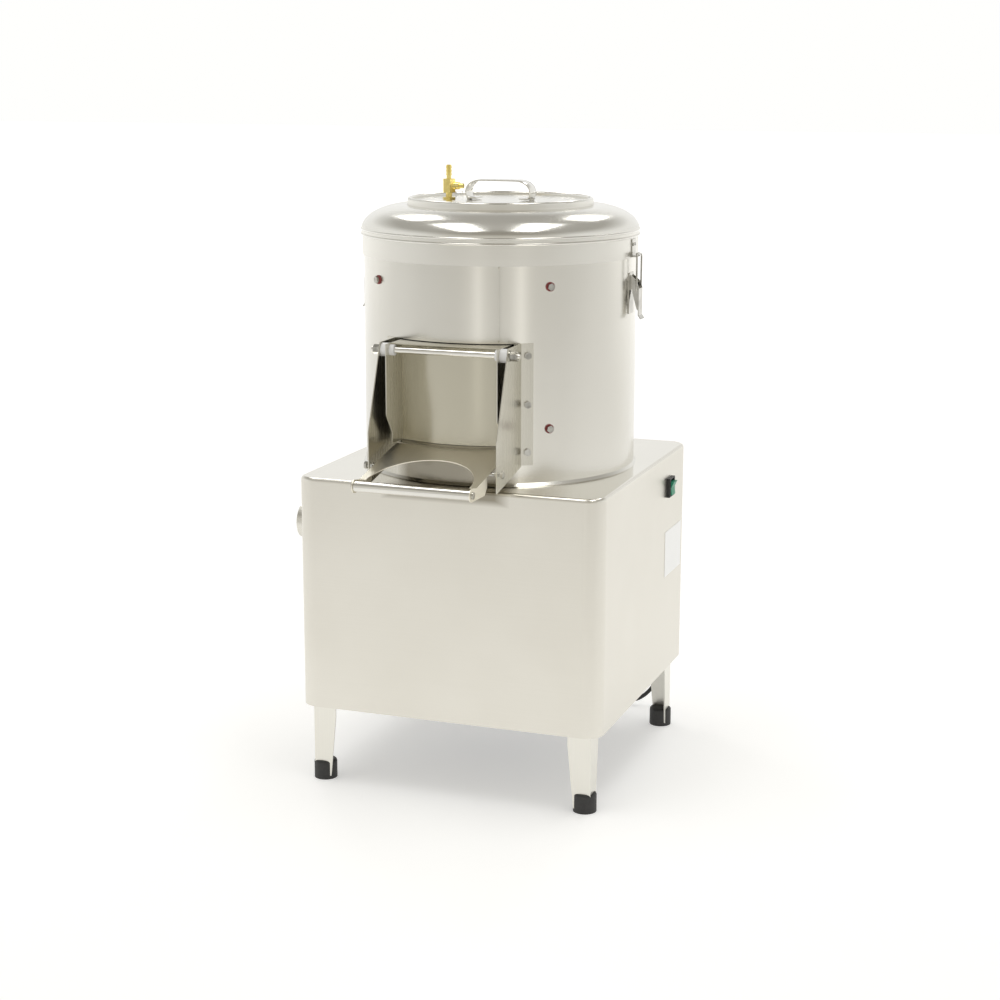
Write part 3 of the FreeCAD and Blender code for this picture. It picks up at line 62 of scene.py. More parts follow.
def makeCamera():
    data = bpy.data.cameras.new("photoCamera")
    data.lens = view["lens"]
    data.sensor_width = view["sensor"]
    camera = bpy.data.objects.new("photoCamera", data)
    bpy.context.scene.collection.objects.link(camera)
    spin = Matrix.Rotation(view["turn"], 4, "Z") @ Matrix.Rotation(math.pi / 2 - view["dip"], 4, "X")
    spin = spin @ Matrix.Rotation(view["roll"], 4, "Z")
    camera.matrix_world = Matrix.Translation(at(*view["place"])) @ spin
    bpy.context.scene.camera = camera


makeCamera()
bpy.context.scene.view_settings.view_transform = "Standard"
print("camera placed")


# small helpers for mesh pieces

def linkPiece(name, bm, material, smooth=True):
    mesh = bpy.data.meshes.new(name)
    bm.to_mesh(mesh)
    bm.free()
    piece = bpy.data.objects.new(name, mesh)
    bpy.context.scene.collection.objects.link(piece)
    piece.data.materials.append(material)
    for face in mesh.polygons:
        face.use_smooth = smooth
    return piece


def creaseByAngle(piece, degrees):  # smooth shading, with edges sharper than this angle kept hard
    bm = bmesh.new()
    bm.from_mesh(piece.data)
    for edge in bm.edges:
        if len(edge.link_faces) == 2:
            edge.smooth = edge.calc_face_angle(0.0) < math.radians(degrees)
    bm.to_mesh(piece.data)
    bm.free()


def bevelSharp(bm, sharper, width):  # small round on every edge that turns by more than this angle, in radians
    sharp = [edge for edge in bm.edges if len(edge.link_faces) == 2 and edge.calc_face_angle(0) > sharper]
    bmesh.ops.bevel(bm, geom=sharp, offset=width * mm, offset_type="OFFSET",
                    segments=2, profile=0.5, affect="EDGES", material=-1)


def spunProfile(points, steps):  # closed ring round the drum's axis from (radius, height) points in millimetres
    bm = bmesh.new()
    middle = at(0, 0, 0)
    verts = [bm.verts.new((middle.x + radius * mm, middle.y, height * mm)) for radius, height in points]
    edges = [bm.edges.new(pair) for pair in zip(verts, verts[1:])]
    bmesh.ops.spin(bm, geom=verts + edges, cent=middle, axis=(0, 0, 1), dvec=(0, 0, 0),
                   angle=2 * math.pi, steps=steps, use_merge=True, use_duplicate=False)
    bmesh.ops.remove_doubles(bm, verts=bm.verts, dist=0.02 * mm)
    bmesh.ops.recalc_face_normals(bm, faces=bm.faces)
    return bm


# mains cord: one length, from the gland down behind the rear leg, wound in a coil, to its plug

cord = {
    "radius": 3.5, "coilX": 30.0, "coilY": 352.0, "coilOuter": 50.0, "halfTurns": 5, "step": 7.8, "climb": 7.7,
    "perHalfTurn": 8, "lead": 7.0, "approach": 22.0, "gland": (205, 270, 165), "plug": (-84, 292, 18.5),
    "down": ((205, 292, 165), (206, 310, 140), (203, 314, 92), (190, 304, 46), (166, 299, 16), (132, 300, 3.9),
             (98, 304, 3.5)),
    "away": ((0, 0, 0), (0, -20, 0), (-8, -40, 3)), "plugRun": 24,
}


def coilPoints():  # half turns inwards on the floor, one that climbs, and half turns back out
    step = cord["step"] / 2
    points = []
    x, y, z = cord["coilX"] + cord["coilOuter"], cord["coilY"], cord["radius"]
    side, radius = -1, cord["coilOuter"]
    turns = [(-step, 0.0)] * cord["halfTurns"] + [(step, cord["climb"])] + [(step, 0.0)] * cord["halfTurns"]
    for change, climb in turns:
        for k in range(cord["perHalfTurn"]):
            angle = math.pi * k / cord["perHalfTurn"]
            rise = climb * (1 - math.cos(angle)) / 2
            along = radius * side * (1 - math.cos(angle))
            points.append((x + along, y - side * radius * math.sin(angle), z + rise))
        x, z = x + 2 * radius * side, z + climb
        side, radius = -side, radius + change
    points.append((x, y, z))
    return points


def makeCord(material):
    coil = coilPoints()
    first, last, plug = coil[0], coil[-1], cord["plug"]
    startX, startY = first[0], first[1] - cord["lead"]
    endX, endY, endZ = last[0], last[1] - cord["lead"], last[2]
    route = [cord["gland"], *cord["down"], (startX, startY - cord["approach"], cord["radius"]),
             (startX, startY, cord["radius"])]
    tail = [(endX + x, endY + y, endZ + z) for x, y, z in cord["away"]]
    tail += [(plug[0] + cord["plugRun"], plug[1], plug[2]), plug]
    curve = bpy.data.curves.new("mainsCord", "CURVE")
    curve.dimensions = "3D"
    curve.bevel_depth = cord["radius"] * mm
    curve.bevel_resolution = 6
    curve.resolution_u = 8
    curve.use_fill_caps = True
    spline = curve.splines.new("NURBS")
    places = [at(*point) for point in route + coil + tail]
    spline.points.add(len(places) - 1)
    for point, place in zip(spline.points, places):
        point.co = (*place, 1.0)
    spline.order_u = 3
    spline.use_endpoint_u = True
    piece = bpy.data.objects.new("mainsCord", curve)
    bpy.context.scene.collection.objects.link(piece)
    curve.materials.append(material)
    return piece


# small helpers for materials

noiseLow, noiseHigh = 0.3, 0.7  # most of a noise texture's values lie between these


def freshMaterial(name):
    material = bpy.data.materials.new(name)
    material.use_nodes = True
    tree = material.node_tree
    return material, tree, tree.nodes["Principled BSDF"]


def objectPattern(tree, scale=(1, 1, 1), place=(0, 0, 0)):  # object coordinates, as the vector of a texture
    coords = tree.nodes.new("ShaderNodeTexCoord")
    mapping = tree.nodes.new("ShaderNodeMapping")
    mapping.inputs["Scale"].default_value = scale
    mapping.inputs["Location"].default_value = place
    tree.links.new(coords.outputs["Object"], mapping.inputs["Vector"])
    return mapping.outputs["Vector"]


def noiseOf(tree, vector, scale, detail, rough=0.5):
    noise = tree.nodes.new("ShaderNodeTexNoise")
    noise.inputs["Scale"].default_value = scale
    noise.inputs["Detail"].default_value = detail
    noise.inputs["Roughness"].default_value = rough
    tree.links.new(vector, noise.inputs["Vector"])
    return noise.outputs["Fac"]


def rampOf(tree, value, stops):
    ramp = tree.nodes.new("ShaderNodeValToRGB")
    ramp.color_ramp.elements[0].position = stops[0][0]
    ramp.color_ramp.elements[0].color = (*stops[0][1], 1)
    ramp.color_ramp.elements[1].position = stops[-1][0]
    ramp.color_ramp.elements[1].color = (*stops[-1][1], 1)
    for position, colour in stops[1:-1]:
        ramp.color_ramp.elements.new(position).color = (*colour, 1)
    tree.links.new(value, ramp.inputs["Fac"])
    return ramp.outputs["Color"]


def spreadOf(tree, value, low, high, fromLow=noiseLow, fromHigh=noiseHigh):
    spread = tree.nodes.new("ShaderNodeMapRange")
    spread.inputs["From Min"].default_value = fromLow
    spread.inputs["From Max"].default_value = fromHigh
    spread.inputs["To Min"].default_value = low
    spread.inputs["To Max"].default_value = high
    tree.links.new(value, spread.inputs["Value"])
    return spread


def bumpOf(tree, value, strength, distance):
    bump = tree.nodes.new("ShaderNodeBump")
    bump.inputs["Strength"].default_value = strength
    bump.inputs["Distance"].default_value = distance
    tree.links.new(value, bump.inputs["Height"])
    return bump.outputs["Normal"]


def timesColour(tree, first, second):
    mix = tree.nodes.new("ShaderNodeMix")
    mix.data_type = "RGBA"
    mix.blend_type = "MULTIPLY"
    mix.inputs[0].default_value = 1.0
    tree.links.new(first, mix.inputs[6])
    tree.links.new(second, mix.inputs[7])
    return mix.outputs[2]


def vectorMath(tree, operation, vector, other=(0, 0, 0)):
    step = tree.nodes.new("ShaderNodeVectorMath")
    step.operation = operation
    tree.links.new(vector, step.inputs[0])
    step.inputs[1].default_value = other
    return step.outputs


def largerOf(tree, first, second):
    larger = tree.nodes.new("ShaderNodeMath")
    larger.operation = "MAXIMUM"
    tree.links.new(first, larger.inputs[0])
    tree.links.new(second, larger.inputs[1])
    return larger.outputs["Value"]


# stainless steel: fine lines over faint broad clouds

steel = {"light": (0.760, 0.742, 0.685), "dark": (0.720, 0.702, 0.640), "cloudScale": 5.0,
         "cloudLow": (0.965, 0.962, 0.955), "cloudHigh": (1, 1, 1), "lineDepth": 0.0002}
paintedDrumReflections = {  # painted reflections in upright bands: share of a turn round the axis, and the tone there
    "tone": 0.86,
    "reflectionBands": [(0.103, 0.84), (0.171, 0.90), (0.217, 0.93), (0.256, 0.97), (0.281, 1.10), (0.300, 0.99),
              (0.304, 0.94), (0.308, 1.02), (0.328, 1.16), (0.345, 1.02), (0.377, 0.96), (0.430, 0.94),
              (0.477, 0.93)],
}
shadeUnderTray = {  # painted shade in the corner under the tray, where the drum meets the cabinet
    "centre": (0, -236, 520), "half": (108, 44, 44), "colour": (0.45, 0.4275, 0.3825),
    "solid": 0.75, "clear": 0.98,
}
skirtFacing, topFacing = (0.15, 0.5), (0.6, 0.95)  # how far a face looks up where its gloss changes


def paintedDrumBands(tree):  # painted reflections: upright bands of lighter and darker tone round the axis
    gradient = tree.nodes.new("ShaderNodeTexGradient")
    gradient.gradient_type = "RADIAL"
    tree.links.new(objectPattern(tree, place=(-axisX, -axisY, 0)), gradient.inputs["Vector"])
    stops = [(place, (paintedDrumReflections["tone"] * tone,) * 3) for place, tone in paintedDrumReflections["reflectionBands"]]
    return rampOf(tree, gradient.outputs["Fac"], stops)


def flatTop(tree, side, top, facing):  # one value on upright faces and another on faces that look up
    geometry = tree.nodes.new("ShaderNodeNewGeometry")
    parts = tree.nodes.new("ShaderNodeSeparateXYZ")
    tree.links.new(geometry.outputs["Normal"], parts.inputs["Vector"])
    spread = spreadOf(tree, parts.outputs["Z"], 0.0, top, *facing)
    tree.links.new(side, spread.inputs["To Min"])
    return spread.outputs["Result"]


def paintedShadeBox(tree, box):  # painted shade that fades out towards the sides of a box
    shifted = vectorMath(tree, "SUBTRACT", objectPattern(tree), at(*box["centre"]))["Vector"]
    scaled = vectorMath(tree, "DIVIDE", shifted, [half * mm for half in box["half"]])["Vector"]
    parts = tree.nodes.new("ShaderNodeSeparateXYZ")
    tree.links.new(vectorMath(tree, "ABSOLUTE", scaled)["Vector"], parts.inputs["Vector"])
    most = largerOf(tree, largerOf(tree, parts.outputs["X"], parts.outputs["Y"]), parts.outputs["Z"])
    return rampOf(tree, most, [(box["solid"], box["colour"]), (box["clear"], (1, 1, 1))])


def grainedSteel(name, grain, rough, bump, light=steel["light"], dark=steel["dark"], reflectionBands=False, topRough=None,
                 paintedShade=None):  # the lines run long where grain is small
    material, tree, shader = freshMaterial(name)
    lines = noiseOf(tree, objectPattern(tree, grain), 1.0, 5.0, 0.65)
    clouds = noiseOf(tree, objectPattern(tree), steel["cloudScale"], 3.0)
    tone = rampOf(tree, lines, [(noiseLow, dark), (noiseHigh, light)])
    tone = timesColour(tree, tone, rampOf(tree, clouds, [(0.35, steel["cloudLow"]), (0.65, steel["cloudHigh"])]))
    # painted reflection bands round the drum's axis
    if reflectionBands:
        tone = timesColour(tree, tone, paintedDrumBands(tree))
    # painted shade darkens the steel under the tray
    if paintedShade:
        tone = timesColour(tree, tone, paintedShadeBox(tree, paintedShade))
    tree.links.new(tone, shader.inputs["Base Color"])
    gloss = spreadOf(tree, lines, *rough).outputs["Result"]
    if topRough:
        gloss = flatTop(tree, gloss, topRough, topFacing)
    tree.links.new(gloss, shader.inputs["Roughness"])
    tree.links.new(bumpOf(tree, lines, bump, steel["lineDepth"]), shader.inputs["Normal"])
    shader.inputs["Metallic"].default_value = 1.0
    return material


def polishedSteel(name, light, dark, rough, scale=9.0, skirtRough=None):  # soft clouds in tone and gloss
    material, tree, shader = freshMaterial(name)
    clouds = noiseOf(tree, objectPattern(tree), scale, 5.0)
    tree.links.new(rampOf(tree, clouds, [(noiseLow, dark), (noiseHigh, light)]), shader.inputs["Base Color"])
    gloss = spreadOf(tree, clouds, rough * 0.8, rough * 1.25).outputs["Result"]
    if skirtRough:
        skirt = spreadOf(tree, clouds, skirtRough * 0.9, skirtRough * 1.1).outputs["Result"]
        gloss = flatTop(tree, skirt, rough, skirtFacing)
    tree.links.new(gloss, shader.inputs["Roughness"])
    fine = noiseOf(tree, objectPattern(tree, (60, 60, 60)), 9.0, 2.0)
    tree.links.new(bumpOf(tree, fine, 0.03, 0.0003), shader.inputs["Normal"])
    shader.inputs["Metallic"].default_value = 1.0
    return material


def plainSurface(name, light, dark, rough, scale, bump, depth=0.0003, metallic=0.0, coat=0.0):
    material, tree, shader = freshMaterial(name)  # moulded, cast or painted, with fine mottling
    mottle = noiseOf(tree, objectPattern(tree), scale, 5.0)
    tree.links.new(rampOf(tree, mottle, [(noiseLow, dark), (noiseHigh, light)]), shader.inputs["Base Color"])
    gloss = spreadOf(tree, mottle, rough * 0.85, rough * 1.15).outputs["Result"]
    tree.links.new(gloss, shader.inputs["Roughness"])
    tree.links.new(bumpOf(tree, mottle, bump, depth), shader.inputs["Normal"])
    shader.inputs["Metallic"].default_value = metallic
    shader.inputs["Coat Weight"].default_value = coat
    return material


sheets = {  # grain, roughness from and to, height of the lines, light and dark tones
    "cabinetSteel": ((4, 4, 1600), (0.30, 0.35), 0.02, (0.775, 0.752, 0.690), (0.755, 0.732, 0.668)),
    "drumSteel": ((5, 5, 2200), (0.22, 0.27), 0.012, (0.94, 0.920, 0.855), (0.92, 0.90, 0.835)),
    "drumInside": ((4, 4, 1600), (0.25, 0.31), 0.03),
    # the door panel's steel darkened: painted shade and reflection from the cheeks and arms beside it
    "doorShadeSteel": ((4, 4, 1600), (0.20, 0.26), 0.02, (0.610, 0.580, 0.480), (0.590, 0.560, 0.460)),
    "traySteel": ((1400, 4, 4), (0.36, 0.44), 0.04, (0.93, 0.89, 0.78), (0.90, 0.86, 0.75)),
    # dark steel for the sill: painted shade under the door's bottom edge
    "sillShadeSteel": ((4, 4, 1600), (0.30, 0.38), 0.03, (0.34, 0.315, 0.245), (0.30, 0.275, 0.21)),
    "cheekSteel": ((1400, 1400, 5), (0.24, 0.30), 0.03, (0.68, 0.66, 0.59), (0.655, 0.635, 0.565)),
    "legSteel": ((1200, 1200, 5), (0.30, 0.38), 0.05, (0.84, 0.825, 0.765), (0.80, 0.785, 0.725)),
    "sheetSteel": ((1200, 4, 4), (0.28, 0.38), 0.08),
}
sheetExtras = {
    # cabinet and drum both get painted shade under the tray
    "cabinetSteel": {"topRough": 0.15, "paintedShade": shadeUnderTray},
    # the drum also gets the painted reflection bands
    "drumSteel": {"reflectionBands": True, "paintedShade": shadeUnderTray},
}
polished = {  # light and dark tones, roughness, scale of the clouds, roughness of upright faces
    "polishedSteel": ((0.80, 0.785, 0.74), (0.72, 0.705, 0.66), 0.10),
    "lidSteel": ((0.77, 0.755, 0.705), (0.745, 0.73, 0.68), 0.18, 4.0, 0.34),
    "boltSteel": ((0.62, 0.61, 0.57), (0.32, 0.31, 0.28), 0.12, 110.0),
    # latch steel darkened: painted shade among the latch's plates, lever and bail
    "latchShadeSteel": ((0.62, 0.605, 0.56), (0.36, 0.35, 0.315), 0.13, 45.0),
}
plain = {  # light and dark tones, roughness, scale and strength of the mottling, its depth, metal, coat
    "zincSteel": ((0.68, 0.69, 0.70), (0.52, 0.53, 0.54), 0.32, 60.0, 0.1, 0.0003, 1.0),
    "brass": ((0.95, 0.80, 0.32), (0.68, 0.52, 0.13), 0.20, 50.0, 0.1, 0.0003, 1.0),
    "castAluminium": ((0.66, 0.66, 0.65), (0.54, 0.54, 0.53), 0.45, 180.0, 0.3, 0.0003, 1.0),
    "castIron": ((0.16, 0.16, 0.165), (0.08, 0.08, 0.085), 0.55, 200.0, 0.5, 0.0003, 0.6),
    "motorPaint": ((0.10, 0.15, 0.21), (0.07, 0.11, 0.16), 0.38, 90.0, 0.12, 0.0003, 0.0, 0.2),
    "blackRubber": ((0.035, 0.034, 0.033), (0.018, 0.018, 0.018), 0.55, 260.0, 0.25),
    "cordRubber": ((0.022, 0.022, 0.022), (0.012, 0.012, 0.012), 0.42, 300.0, 0.15),
    "whiteRubber": ((0.80, 0.79, 0.75), (0.70, 0.69, 0.65), 0.5, 120.0, 0.15),
    "whiteNylon": ((0.86, 0.86, 0.86), (0.78, 0.78, 0.79), 0.35, 90.0, 0.08),
    "redFibre": ((0.33, 0.060, 0.055), (0.17, 0.03, 0.03), 0.6, 400.0, 0.3),
    "blackPlastic": ((0.016, 0.016, 0.017), (0.009, 0.009, 0.010), 0.42, 220.0, 0.15),
    "greenPlastic": ((0.02, 0.30, 0.165), (0.015, 0.25, 0.14), 0.45, 60.0, 0.05),
    "whiteLabel": ((0.98, 0.985, 0.98), (0.96, 0.965, 0.96), 0.6, 30.0, 0.04),
    "grit": ((0.10, 0.10, 0.105), (0.015, 0.015, 0.016), 0.55, 900.0, 0.9, 0.0012),
}
finishes = {}
for name, values in sheets.items():
    finishes[name] = grainedSteel(name, *values, **sheetExtras.get(name, {}))
finishes.update({name: polishedSteel(name, *values) for name, values in polished.items()})
finishes.update({name: plainSurface(name, *values) for name, values in plain.items()})

nodeFinish = {
    "cabinet_shell": "cabinetSteel", "base_frame": "sheetSteel", "legs": "legSteel", "rubber_feet": "blackRubber",
    "frame_bolts": "zincSteel", "drum_shell": "drumSteel", "drum_floor": "drumInside", "abrasive_liners": "grit",
    "liner_screws": "boltSteel", "liner_washers": "redFibre", "drain_pipe": "drumInside",
    "drain_grommet": "whiteRubber", "bearing_housing": "castIron", "shaft_bearings": "zincSteel",
    "shaft_seal": "blackRubber", "main_shaft": "zincSteel", "peeling_disc": "grit", "disc_nut": "boltSteel",
    "drive_pulley": "castIron", "drive_belt": "blackRubber", "motor_pulley": "castAluminium",
    "motor_body": "motorPaint", "motor_shaft": "zincSteel", "motor_fan": "blackPlastic", "fan_cover": "motorPaint",
    "motor_plate": "zincSteel", "cheek_right": "cheekSteel", "cheek_left": "cheekSteel", "cheek_bolts": "boltSteel",
    "pivot_rod": "polishedSteel", "pivot_nuts": "boltSteel", "pivot_bushes": "whiteNylon",
    "door_panel": "doorShadeSteel", "door_arms": "cheekSteel", "door_tray": "traySteel", "handle_bar": "polishedSteel",
    "handle_screws": "boltSteel", "stop_bolts": "boltSteel", "lid_shell": "lidSteel", "lid_gasket": "whiteRubber",
    "lid_handle": "polishedSteel", "lid_rivets": "boltSteel", "valve_body": "brass", "valve_stem": "brass",
    "spray_nozzle": "brass", "latch_bases": "latchShadeSteel", "latch_keepers": "latchShadeSteel",
    "latch_lever_right": "latchShadeSteel", "latch_lever_left": "latchShadeSteel", "latch_bail_right": "latchShadeSteel",
    "latch_bail_left": "latchShadeSteel", "switch_bezel": "blackPlastic", "switch_rocker": "greenPlastic",
    "rating_plate": "whiteLabel", "cable_gland": "blackPlastic", "cord_coil": "cordRubber",
    "power_cord": "cordRubber", "power_plug": "blackRubber", "plug_pins": "zincSteel",
}


def dressNodes():
    for node, finish in nodeFinish.items():
        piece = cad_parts[node]
        piece.data.materials.clear()
        piece.data.materials.append(finishes[finish])


dressNodes()
print("finishes on", len(nodeFinish), "nodes")


# pieces that finish what the solids leave plain

rim = {"radius": 221.3, "wire": 1.9, "heights": (875.6, 867.4), "around": 14, "steps": 192, "crease": 60}


def makeLidRims(material):  # the two rolled lines round the lid's edge
    for number, height in enumerate(rim["heights"]):
        points = []
        for k in range(rim["around"] + 1):
            angle = 2 * math.pi * k / rim["around"]
            points.append((rim["radius"] + rim["wire"] * math.cos(angle), height + rim["wire"] * math.sin(angle)))
        piece = linkPiece("lidRim%d" % number, spunProfile(points, rim["steps"]), material)
        creaseByAngle(piece, rim["crease"])
        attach(piece, "lid")


strap = {"width": 30.0, "thick": 2.2, "foot": 919.6, "top": 952.0, "topHalf": 30.0, "wideHalf": 55.0,
         "footHalf": 49.0, "tab": 13.0, "steps": 10, "flat": 0.6, "shoulder": 0.62, "edge": 0.5, "sharp": 1.2,
         "crease": 35}


def strapLine():  # half of the strap's middle line, from its top centre down and in under the foot
    top, foot, wide = strap["top"] - strap["thick"] / 2, strap["foot"] + strap["thick"] / 2, strap["wideHalf"]
    topHalf, steps = strap["topHalf"], strap["steps"]
    points = [(0.0, top), (topHalf * strap["flat"], top)]
    drop = (top - foot) * strap["shoulder"]
    angles = [math.pi / 2 * k / steps for k in range(steps + 1)]
    for angle in angles:
        points.append((topHalf + (wide - topHalf) * math.sin(angle), top - drop * (1 - math.cos(angle))))
    low = points[-1][1]
    for angle in angles[1:]:
        inwards = (wide - strap["footHalf"]) * (1 - math.cos(angle))
        points.append((wide - inwards, low - (low - foot) * math.sin(angle)))
    points.append((strap["footHalf"] - strap["tab"], foot))
    return points


def makeHandle(material):  # polished strap handle, riveted by its turned-in feet
    half = strapLine()
    line = [(-x, z) for x, z in reversed(half[1:])] + half
    bm = bmesh.new()
    front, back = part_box("lid_handle")[0][1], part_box("lid_handle")[1][1]
    middle = (front + back) / 2 / mm - axisY / mm
    verts = [bm.verts.new(at(x, middle - strap["width"] / 2, z)) for x, z in line]
    edges = [bm.edges.new(pair) for pair in zip(verts, verts[1:])]
    side = bmesh.ops.extrude_edge_only(bm, edges=edges)["geom"]
    farSide = [part for part in side if isinstance(part, bmesh.types.BMVert)]
    bmesh.ops.translate(bm, vec=(0, strap["width"] * mm, 0), verts=farSide)
    bmesh.ops.recalc_face_normals(bm, faces=bm.faces)
    bmesh.ops.solidify(bm, geom=bm.faces[:], thickness=strap["thick"] * mm)
    bmesh.ops.recalc_face_normals(bm, faces=bm.faces)
    bevelSharp(bm, strap["sharp"], strap["edge"])
    piece = linkPiece("lidHandleStrap", bm, material)
    creaseByAngle(piece, strap["crease"])
    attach(piece, "lid")
    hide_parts("lid_handle")


sill = {"inner": 212.4, "outer": 217.3, "low": 551.0, "high": 561.2, "half": 25.0, "steps": 24, "crease": 30}


def makeSill(material):  # turned-in lip under the door, along the lower edge of the drum's opening, in dark steel painted as the shade under the door
    bm = bmesh.new()
    start = math.radians(-90 - sill["half"])
    corners = [(sill["inner"], sill["low"]), (sill["outer"], sill["low"]),
               (sill["outer"], sill["high"]), (sill["inner"], sill["high"])]
    verts = [bm.verts.new(at(r * math.cos(start), r * math.sin(start), z)) for r, z in corners]
    face = bm.faces.new(verts)
    bmesh.ops.spin(bm, geom=[face], cent=at(0, 0, 0), axis=(0, 0, 1), angle=math.radians(2 * sill["half"]),
                   steps=sill["steps"], use_merge=False, use_duplicate=False)
    bmesh.ops.remove_doubles(bm, verts=bm.verts, dist=0.01 * mm)
    bmesh.ops.holes_fill(bm, edges=bm.edges, sides=4)
    bmesh.ops.recalc_face_normals(bm, faces=bm.faces)
    piece = linkPiece("openingSill", bm, material)
    creaseByAngle(piece, sill["crease"])
    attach(piece, "cabinet")


seam = {"angle": -70.7, "width": 1.6, "proud": 0.35, "sunk": 0.4, "spans": ((721.0, 834.0), (502.0, 553.0)),
        "cuts": 24, "edge": 0.25, "sharp": 1.0, "crease": 35}


def makeSeam(material):  # the drum's welded joint, ground nearly flush
    radius = (drumHigh[0] - drumLow[0]) / 2 + (seam["proud"] - seam["sunk"]) / 2 * mm
    thick = (seam["proud"] + seam["sunk"]) * mm
    turn = Matrix.Rotation(math.radians(seam["angle"]), 3, "Z")
    for number, (low, high) in enumerate(seam["spans"]):
        bm = bmesh.new()
        bmesh.ops.create_cube(bm, size=1.0)
        bmesh.ops.scale(bm, vec=(thick, seam["width"] * mm, (high - low) * mm), verts=bm.verts)
        upright = [edge for edge in bm.edges if abs(edge.verts[0].co.z - edge.verts[1].co.z) > 0.01]
        bmesh.ops.subdivide_edges(bm, edges=upright, cuts=seam["cuts"])
        bevelSharp(bm, seam["sharp"], seam["edge"])
        bmesh.ops.translate(bm, vec=(radius, 0, (low + high) / 2 * mm), verts=bm.verts)
        bmesh.ops.rotate(bm, cent=(0, 0, 0), matrix=turn, verts=bm.verts)
        bmesh.ops.translate(bm, vec=at(0, 0, 0), verts=bm.verts)
        piece = linkPiece("drumSeam%d" % number, bm, material)
        creaseByAngle(piece, seam["crease"])
        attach(piece, "cabinet")


relief = {"length": 30.0, "start": 6.6, "end": 4.4, "ribs": 5, "rib": 0.7, "perRib": 6}


def cordLine(cordPiece):  # points along the cord's own spline, with how far along it each lies
    bare = cordPiece.data.copy()
    bare.bevel_depth = 0.0
    probe = bpy.data.objects.new("cordProbe", bare)
    mesh = bpy.data.meshes.new_from_object(probe)
    line = [vert.co.copy() for vert in mesh.vertices]
    bpy.data.objects.remove(probe)
    bpy.data.curves.remove(bare)
    bpy.data.meshes.remove(mesh)
    walked, kept = 0.0, [(line[0], 0.0)]
    for before, after in zip(line, line[1:]):
        walked += (after - before).length
        if walked > relief["length"] * mm:
            break
        kept.append((after, walked))
    return kept


def makeRelief(cordPiece, material):  # ribbed sleeve that keeps the cord from kinking where it leaves the gland
    kept = cordLine(cordPiece)
    curve = bpy.data.curves.new("cordRelief", "CURVE")
    curve.dimensions = "3D"
    curve.bevel_depth = mm
    curve.bevel_resolution = 6
    curve.use_fill_caps = True
    count = relief["ribs"] * relief["perRib"]
    spline = curve.splines.new("POLY")
    spline.points.add(count)
    for k, point in enumerate(spline.points):
        goal = kept[-1][1] * k / count
        place = kept[-1][0]
        for (first, near), (second, far) in zip(kept, kept[1:]):
            if near <= goal <= far:
                place = first.lerp(second, (goal - near) / max(far - near, 1e-9))
                break
        point.co = (*place, 1.0)
        ribbed = relief["rib"] if k % relief["perRib"] < relief["perRib"] / 2 else 0.0
        point.radius = relief["start"] + (relief["end"] - relief["start"]) * k / count + ribbed
    piece = bpy.data.objects.new("cordRelief", curve)
    bpy.context.scene.collection.objects.link(piece)
    curve.materials.append(material)
    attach(piece, "cabinet")
    return piece


makeLidRims(finishes["polishedSteel"])
makeHandle(finishes["polishedSteel"])
makeSill(finishes["sillShadeSteel"])
makeSeam(finishes["drumSteel"])
print("finishing pieces made")

mainsCord = makeCord(finishes["cordRubber"])
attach(mainsCord, "cabinet")
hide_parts("power_cord", "cord_coil")
cordRelief = makeRelief(mainsCord, finishes["blackRubber"])
print("mains cord laid")


# floor, surroundings and lights

studio = {
    "floorSize": 60.0, "floorTone": (0.87, 0.87, 0.865), "lookWay": (-0.34, 0.94, 0.0),
    "glow": ((-3.5, 0.16), (-1.1, 0.33), (1.2, 0.37), (6.0, 0.80)),  # metres along lookWay, and the light there
    "horizon": (1.0, 1.0, 0.985), "ceiling": (0.46, 0.45, 0.42), "ceilingFrom": 0.30, "ceilingTo": 0.62,
    "shade": (0.66, 0.635, 0.585), "shadeAim": (0.30, -0.93, 0.25), "shadeFrom": 0.45, "shadeTo": 0.85,
}
softBoxes = {  # four boxes that show as bright shapes on the lid's dome
    "away": 2.6, "level": (0.34, -0.94, 0),
    "boxes": [
        {"name": "boxBackLeft", "aim": (-63, -190, 902), "way": (-0.499, 0.560, 0.662), "size": (0.50, 0.75),
         "power": 5.5},
        {"name": "boxLeft", "aim": (15, -214, 891), "way": (-0.279, -0.214, 0.936), "size": (0.75, 2.1),
         "power": 17},
        {"name": "boxRight", "aim": (118, -179, 891), "way": (0.311, -0.014, 0.950), "size": (0.75, 2.1),
         "power": 17},
        {"name": "boxBackRight", "aim": (177, -96, 902), "way": (0.042, 0.768, 0.639), "size": (0.50, 0.75),
         "power": 5.5},
    ],
}
strips = {"degrees": (-54.0, -88.0), "away": 3.3, "size": (0.28, 2.2), "power": 0.75}


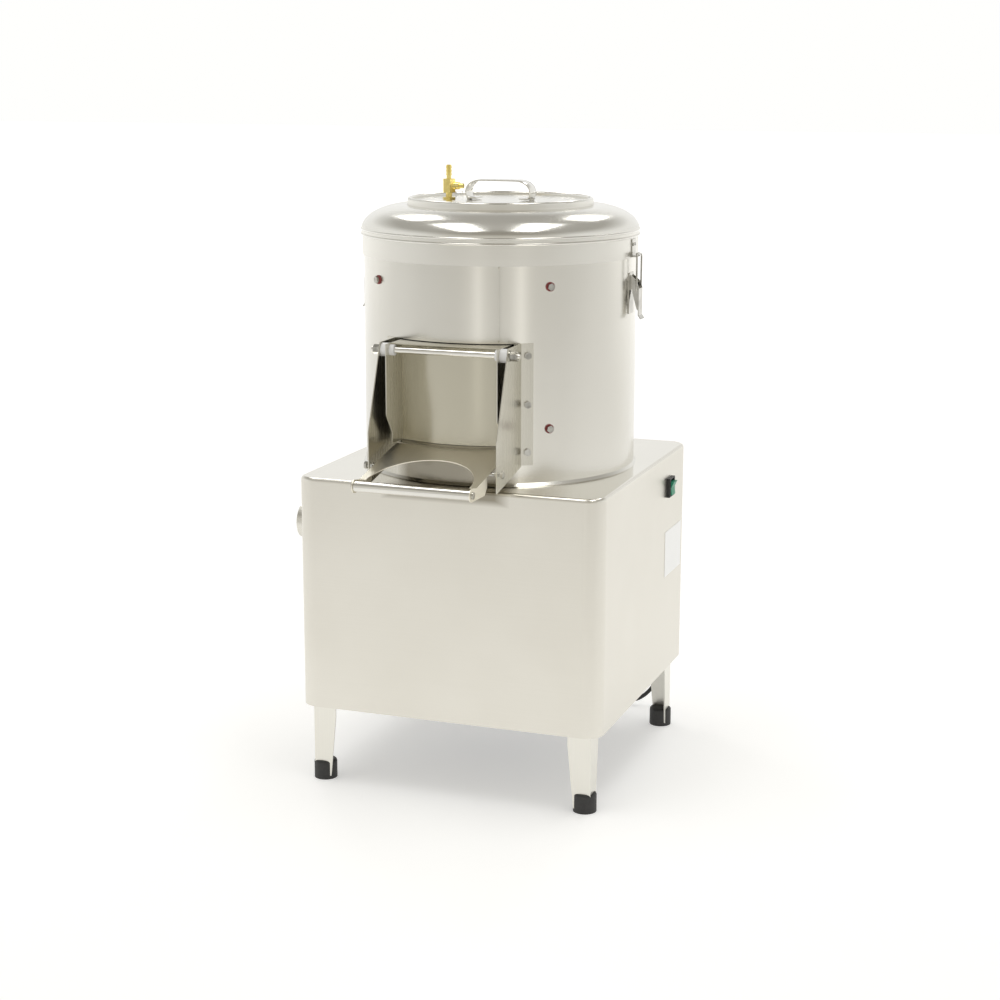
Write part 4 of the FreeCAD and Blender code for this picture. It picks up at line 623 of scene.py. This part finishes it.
def makeFloor():
    bm = bmesh.new()
    bmesh.ops.create_grid(bm, x_segments=1, y_segments=1, size=studio["floorSize"] / 2)
    material, tree, shader = freshMaterial("floorPaper")
    clouds = noiseOf(tree, objectPattern(tree), 0.8, 2.0)
    tone = studio["floorTone"]
    paper = rampOf(tree, clouds, [(noiseLow, tuple(0.99 * t for t in tone)), (noiseHigh, tone)])
    tree.links.new(paper, shader.inputs["Base Color"])
    shader.inputs["Roughness"].default_value = 0.9
    shader.inputs["Specular IOR Level"].default_value = 0.1
    away = vectorMath(tree, "DOT_PRODUCT", objectPattern(tree), studio["lookWay"])["Value"]
    low, high = studio["glow"][0][0], studio["glow"][-1][0]
    along = spreadOf(tree, away, 0.0, 1.0, low, high).outputs["Result"]
    stops = [((where - low) / (high - low), (glow, glow, glow)) for where, glow in studio["glow"]]
    shader.inputs["Emission Color"].default_value = (1, 1, 1, 1)
    tree.links.new(rampOf(tree, along, stops), shader.inputs["Emission Strength"])
    floor = linkPiece("studioFloor", bm, material, smooth=False)


def worldRamp(tree, way, stops):  # colour by how far a direction leans towards this way
    coords = tree.nodes.new("ShaderNodeTexCoord")
    lean = vectorMath(tree, "DOT_PRODUCT", coords.outputs["Generated"], Vector(way).normalized())["Value"]
    return rampOf(tree, lean, stops)


def makeSurroundings():
    world = bpy.data.worlds.new("studio")
    bpy.context.scene.world = world
    world.use_nodes = True
    tree = world.node_tree
    background = tree.nodes["Background"]
    upwards = worldRamp(tree, (0, 0, 1), [(studio["ceilingFrom"], studio["horizon"]),
                                          (studio["ceilingTo"], studio["ceiling"])])
    front = worldRamp(tree, studio["shadeAim"], [(studio["shadeFrom"], (1, 1, 1)),
                                                 (studio["shadeTo"], studio["shade"])])
    tree.links.new(timesColour(tree, upwards, front), background.inputs["Color"])


def makeLamp(name, size, power, place, turn):
    data = bpy.data.lights.new(name, "AREA")
    data.shape = "RECTANGLE"
    data.size, data.size_y = size
    data.energy = power
    lamp = bpy.data.objects.new(name, data)
    bpy.context.scene.collection.objects.link(lamp)
    lamp.matrix_world = Matrix.Translation(place) @ turn.to_4x4()
    lamp.visible_camera = False


def makeSoftBoxes():
    for box in softBoxes["boxes"]:
        way = Vector(box["way"]).normalized()
        across = way.cross(Vector(softBoxes["level"])).normalized()
        turn = Matrix((across, way.cross(across), way)).transposed()
        makeLamp(box["name"], box["size"], box["power"], at(*box["aim"]) + softBoxes["away"] * way, turn)


def makeStrips():  # two tall strips either side of the camera, the bright upright streaks in round steel
    upright = Vector((0, 0, 1))
    for number, degrees in enumerate(strips["degrees"]):
        angle = math.radians(degrees)
        way = Vector((math.cos(angle), math.sin(angle), 0))
        turn = Matrix((upright.cross(way), upright, way)).transposed()
        place = at(0, 0, 0) + strips["away"] * way + upright * strips["size"][1] / 2
        makeLamp("strip%d" % number, strips["size"], strips["power"], place, turn)


makeFloor()
makeSurroundings()
makeSoftBoxes()
makeStrips()
print("studio lit")
